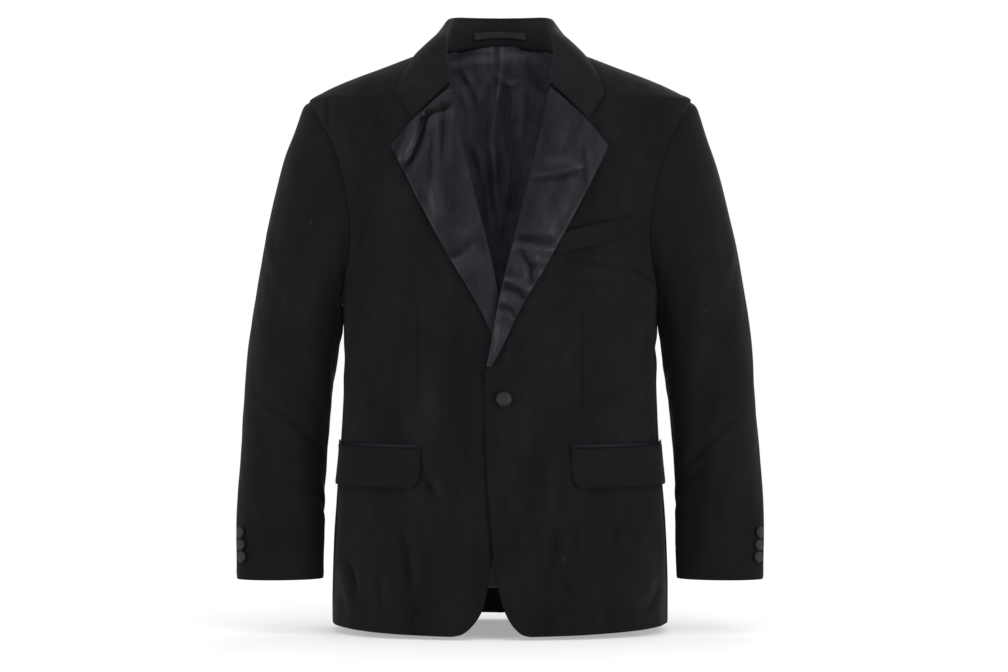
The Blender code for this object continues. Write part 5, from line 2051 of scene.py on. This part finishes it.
@dataclass
class DinnerJacket:
    """All the pieces of the jacket, in the order in which they are made."""

    form: JacketForm = field(default_factory=JacketForm)
    sleeve: SleeveForm = field(default_factory=SleeveForm)
    wool: WoolFinish = WoolFinish()
    # painted light: the collar is a lighter copy of the black wool, and its stand is painted lighter still
    collar_wool: WoolFinish = WoolFinish(name="collar_wool", level=0.0058, stand_painted_light=2.3)
    satin: SatinFinish = SatinFinish()
    # painted shade: a darker copy of the lapels' satin for the narrow jetting
    jetting_satin_painted_shade: SatinFinish = SatinFinish(name="jetting_satin_painted_shade", level=0.0046, roughness=0.55, shine=0.05)
    tape: TapeFinish = TapeFinish()
    lining: LiningFinish = LiningFinish()
    drawn: ButtonFinish = ButtonFinish()
    front_button_x: float = 0.0050
    front_button_height: float = -0.4035
    front_button_shank: float = 0.0015
    cuff_buttons: int = 3
    cuff_button_size: float = 0.0148
    cuff_button_pitch: float = 0.0152
    cuff_button_from_edge: float = 0.0290
    cuff_button_from_seam: float = 0.0230
    cuff_button_gap: float = 0.0009
    cuff_part: float = 0.1

    def build(self) -> None:
        """Builds every piece."""
        for side, name in ((1, "left"), (-1, "right")):
            self.body_panels(side, name)
            self.sleeve_panels(side, name)
            self.lapel(side, name)
            self.pocket(side, name)
            self.buttons_on_cuff(side, name)
        self.neck_pieces()
        self.breast_pocket()
        self.front_button()

    def woollen(self, kind: type, name: str, side: int, cut: Cut, **more: Any) -> None:
        """Builds a piece of the black wool.

        Args:
            kind: the class of the piece.
            name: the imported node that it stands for.
            side: 1 for the wearer's left, -1 for the right.
            cut: its flat size.
            more: further fields of the piece.
        """
        kind(f"wool_{name}", name, side, self.wool, cut, **more).built()

    def body_panels(self, side: int, name: str) -> None:
        """The front, the side and the half back of one side."""
        shoulders = ("wool_collar",)
        self.woollen(
            FrontPanel,
            f"front_{name}",
            side,
            Cut(0.300, 0.770, 0.1850, "hung", shoulders),
            columns=150,
            rows=240,
            creases=FRONT_CREASES[side],
            ripples=(Ripple(3 + side, 0.0008, 0.075), Ripple(7 + side, 0.00036, 0.021)),
            edge_sink=(0.0012, 0.0006, 0.0010, 0.0004),
            edge_tone=(1.0, 0.8, 0.8, 0.3),
        )
        self.woollen(
            SidePanel,
            f"side_{name}",
            side,
            Cut(0.100, 0.430, 0.0400, "hung", (f"wool_front_{name}", f"wool_back_{name}")),
            columns=44,
            rows=120,
            creases=SIDE_CREASES[side],
            ripples=(Ripple(11 + side, 0.0006, 0.080),),
        )
        self.woollen(
            BackPanel,
            f"back_{name}",
            side,
            Cut(0.250, 0.760, 0.1700, "hung", shoulders),
            columns=74,
            rows=150,
            creases=BACK_CREASES[side],
            ripples=(Ripple(17 + side, 0.0008, 0.090), Ripple(19 + side, 0.00025, 0.035)),
            edge_sink=(0.0008, 0.0006, 0.0008, 0.0004),
        )

    def sleeve_panels(self, side: int, name: str) -> None:
        """The top and under pieces of one sleeve."""
        hung = (f"wool_front_{name}", f"wool_back_{name}")
        hind = self.sleeve.hindarm - self.form.samples
        parts = (
            ("top", hind, self.sleeve.forearm, 96, Cut(0.215, 0.660, 0.1180, "hung", hung)),
            ("under", self.sleeve.forearm, self.sleeve.hindarm, 76, Cut(0.170, 0.500, 0.0760, "hung", hung)),
        )
        for part, first, last, columns, cut in parts:
            self.woollen(
                SleevePanel,
                f"{part}_sleeve_{name}",
                side,
                cut,
                columns=columns,
                rows=150,
                first=first,
                last=last,
                sleeve=self.sleeve,
                creases=SLEEVE_CREASES[side],
                ripples=(Ripple(23 + side, 0.0008, 0.070, 3.0), Ripple(29 + side, 0.00030, 0.030, 2.0)),
                edge_sink=(0.0005, 0.0005, 0.0, 0.0008),
                edge_tone=(0.5, 0.5, 1.1, 0.6),
            )

    def lapel(self, side: int, name: str) -> None:
        """One satin lapel."""
        SatinLapel(
            f"satin_lapel_{name}",
            f"lapel_{name}",
            side,
            self.satin,
            Cut(0.085, 0.365, 0.0200, "folded", (f"wool_front_{name}",)),
            columns=64,
            rows=170,
            thickness=SATIN,
            crowding=(0.0, 0.2),
            full_break=0.0018,
            creases=LAPEL_CREASES[side],
            ripples=(Ripple(31 + side, 0.00035, 0.028, 1.2), Ripple(37 + side, 0.00012, 0.011, 1.1)),
            edge_sink=(0.0, 0.0006, 0.0, 0.0006),
            edge_tone=(0.0, 0.9, 0.0, 0.9),
            edge_width=0.0022,
        ).built()

    def pocket(self, side: int, name: str) -> None:
        """The flap and the satin jetting of one hip pocket."""
        front = (f"wool_front_{name}",)
        self.woollen(
            Flap,
            f"flap_{name}",
            side,
            Cut(0.195, 0.050, 0.0096, "hung", front),
            columns=96,
            rows=28,
            crowding=(0.7, 0.3),
            ripples=(Ripple(41 + side, 0.0004, 0.045),),
            edge_sink=(0.0005, 0.0005, 0.0, 0.0006),
            edge_tone=(0.9, 0.5, 0.5, 1.0),
            edge_width=0.0024,
        )
        width = Jetting.strip.length
        Jetting(
            f"satin_jetting_{name}",
            f"jetting_{name}",
            side,
            self.jetting_satin_painted_shade,
            Cut(0.195, width, 0.195 * width, "folded", front),
            columns=60,
            rows=18,
            thickness=0.0005,
            crowding=(0.3, 0.0),
            edge_sink=NO_EDGES,
            edge_tone=NO_EDGES,
        ).built()

    def buttons_on_cuff(self, side: int, name: str) -> None:
        """The buttons in a row above one cuff, beside the hind seam."""
        ends = self.sleeve.point(np.zeros(2), np.array((1.0 - self.cuff_part, 1.0)))
        length = float(np.linalg.norm(ends[1] - ends[0])) / self.cuff_part
        share = self.cuff_button_from_seam / self.sleeve.cuff_girth
        sample = np.array([self.sleeve.hindarm - self.form.samples + share * self.form.samples])
        for k in range(self.cuff_buttons):
            along = np.array([1 - (self.cuff_button_from_edge + k * self.cuff_button_pitch) / length])
            normal = self.sleeve.normal(sample, along)
            place = self.sleeve.point(sample, along) + normal * self.cuff_button_gap
            CoveredButton(
                f"drawn_cuff_button_{name}_{k + 1}",
                f"cuff_button_{name}_{k + 1}",
                mirrored(place, side)[0],
                mirrored(normal, side)[0],
                self.drawn,
                self.cuff_button_size,
            ).built()

    def neck_pieces(self) -> None:
        """The collar, the hanger loop in its stand, and the lining of the back."""
        collar = RolledCollar(
            "wool_collar",
            "collar",
            1,
            self.collar_wool,
            Cut(0.420, 0.100, 0.0400, "folded", ("wool_front_left", "wool_front_right")),
            columns=180,
            rows=48,
            thickness=0.0018,
            crowding=(0.35, 0.0),
            ripples=(Ripple(43, 0.0004, 0.050, 1.5),),
            edge_sink=(0.0006, 0.0006, 0.0, 0.0006),
            edge_width=0.0022,
        )
        collar.built()
        width = HangerLoop.strip.length
        HangerLoop(
            "tape_hanger_loop",
            "hanger_loop",
            1,
            self.tape,
            Cut(0.068, width, 0.068 * width, "folded", ("wool_collar",)),
            columns=40,
            rows=18,
            thickness=0.0004,
            crowding=(0.0, 0.0),
            edge_sink=NO_EDGES,
            edge_tone=NO_EDGES,
            collar=collar,
        ).built()
        BackLining(
            "plum_back_lining",
            "lining_back",
            1,
            self.lining,
            Cut(0.300, 0.720, 0.1860, "hung", ("wool_back_left", "wool_back_right")),
            columns=160,
            rows=210,
            thickness=LINING,
            crowding=(-0.55, 0.0),
            creases=LINING_CREASES,
            ripples=(Ripple(47, 0.0006, 0.030, 4.0), Ripple(53, 0.0003, 0.012, 3.0)),
            edge_sink=NO_EDGES,
            edge_tone=NO_EDGES,
        ).built()

    def breast_pocket(self) -> None:
        """The welt on the left breast."""
        self.woollen(
            BreastWelt,
            "breast_welt",
            1,
            Cut(0.105, 0.0265, 0.00275, "stretched", ("wool_front_left",)),
            columns=60,
            rows=16,
            thickness=0.0010,
            crowding=(0.3, 0.4),
            edge_sink=(0.0, 0.0005, 0.0006, 0.0006),
            edge_tone=(0.0, 0.9, 0.9, 0.9),
            edge_width=0.0020,
        )

    def front_button(self) -> None:
        """The one button of the closing."""
        x, height = np.array([self.front_button_x]), np.array([self.front_button_height])
        place, facing = self.form.on_front(x, height, 1, self.front_button_shank + LAID_GAP)
        CoveredButton("drawn_front_button", "front_button", place[0], facing[0], self.drawn).built()


def main() -> None:
    """Builds the studio and the jacket."""
    logging.basicConfig(level=logging.INFO, format="%(name)s %(message)s")
    Studio().build()
    DinnerJacket().build()


if __name__ == "__main__":
    main()
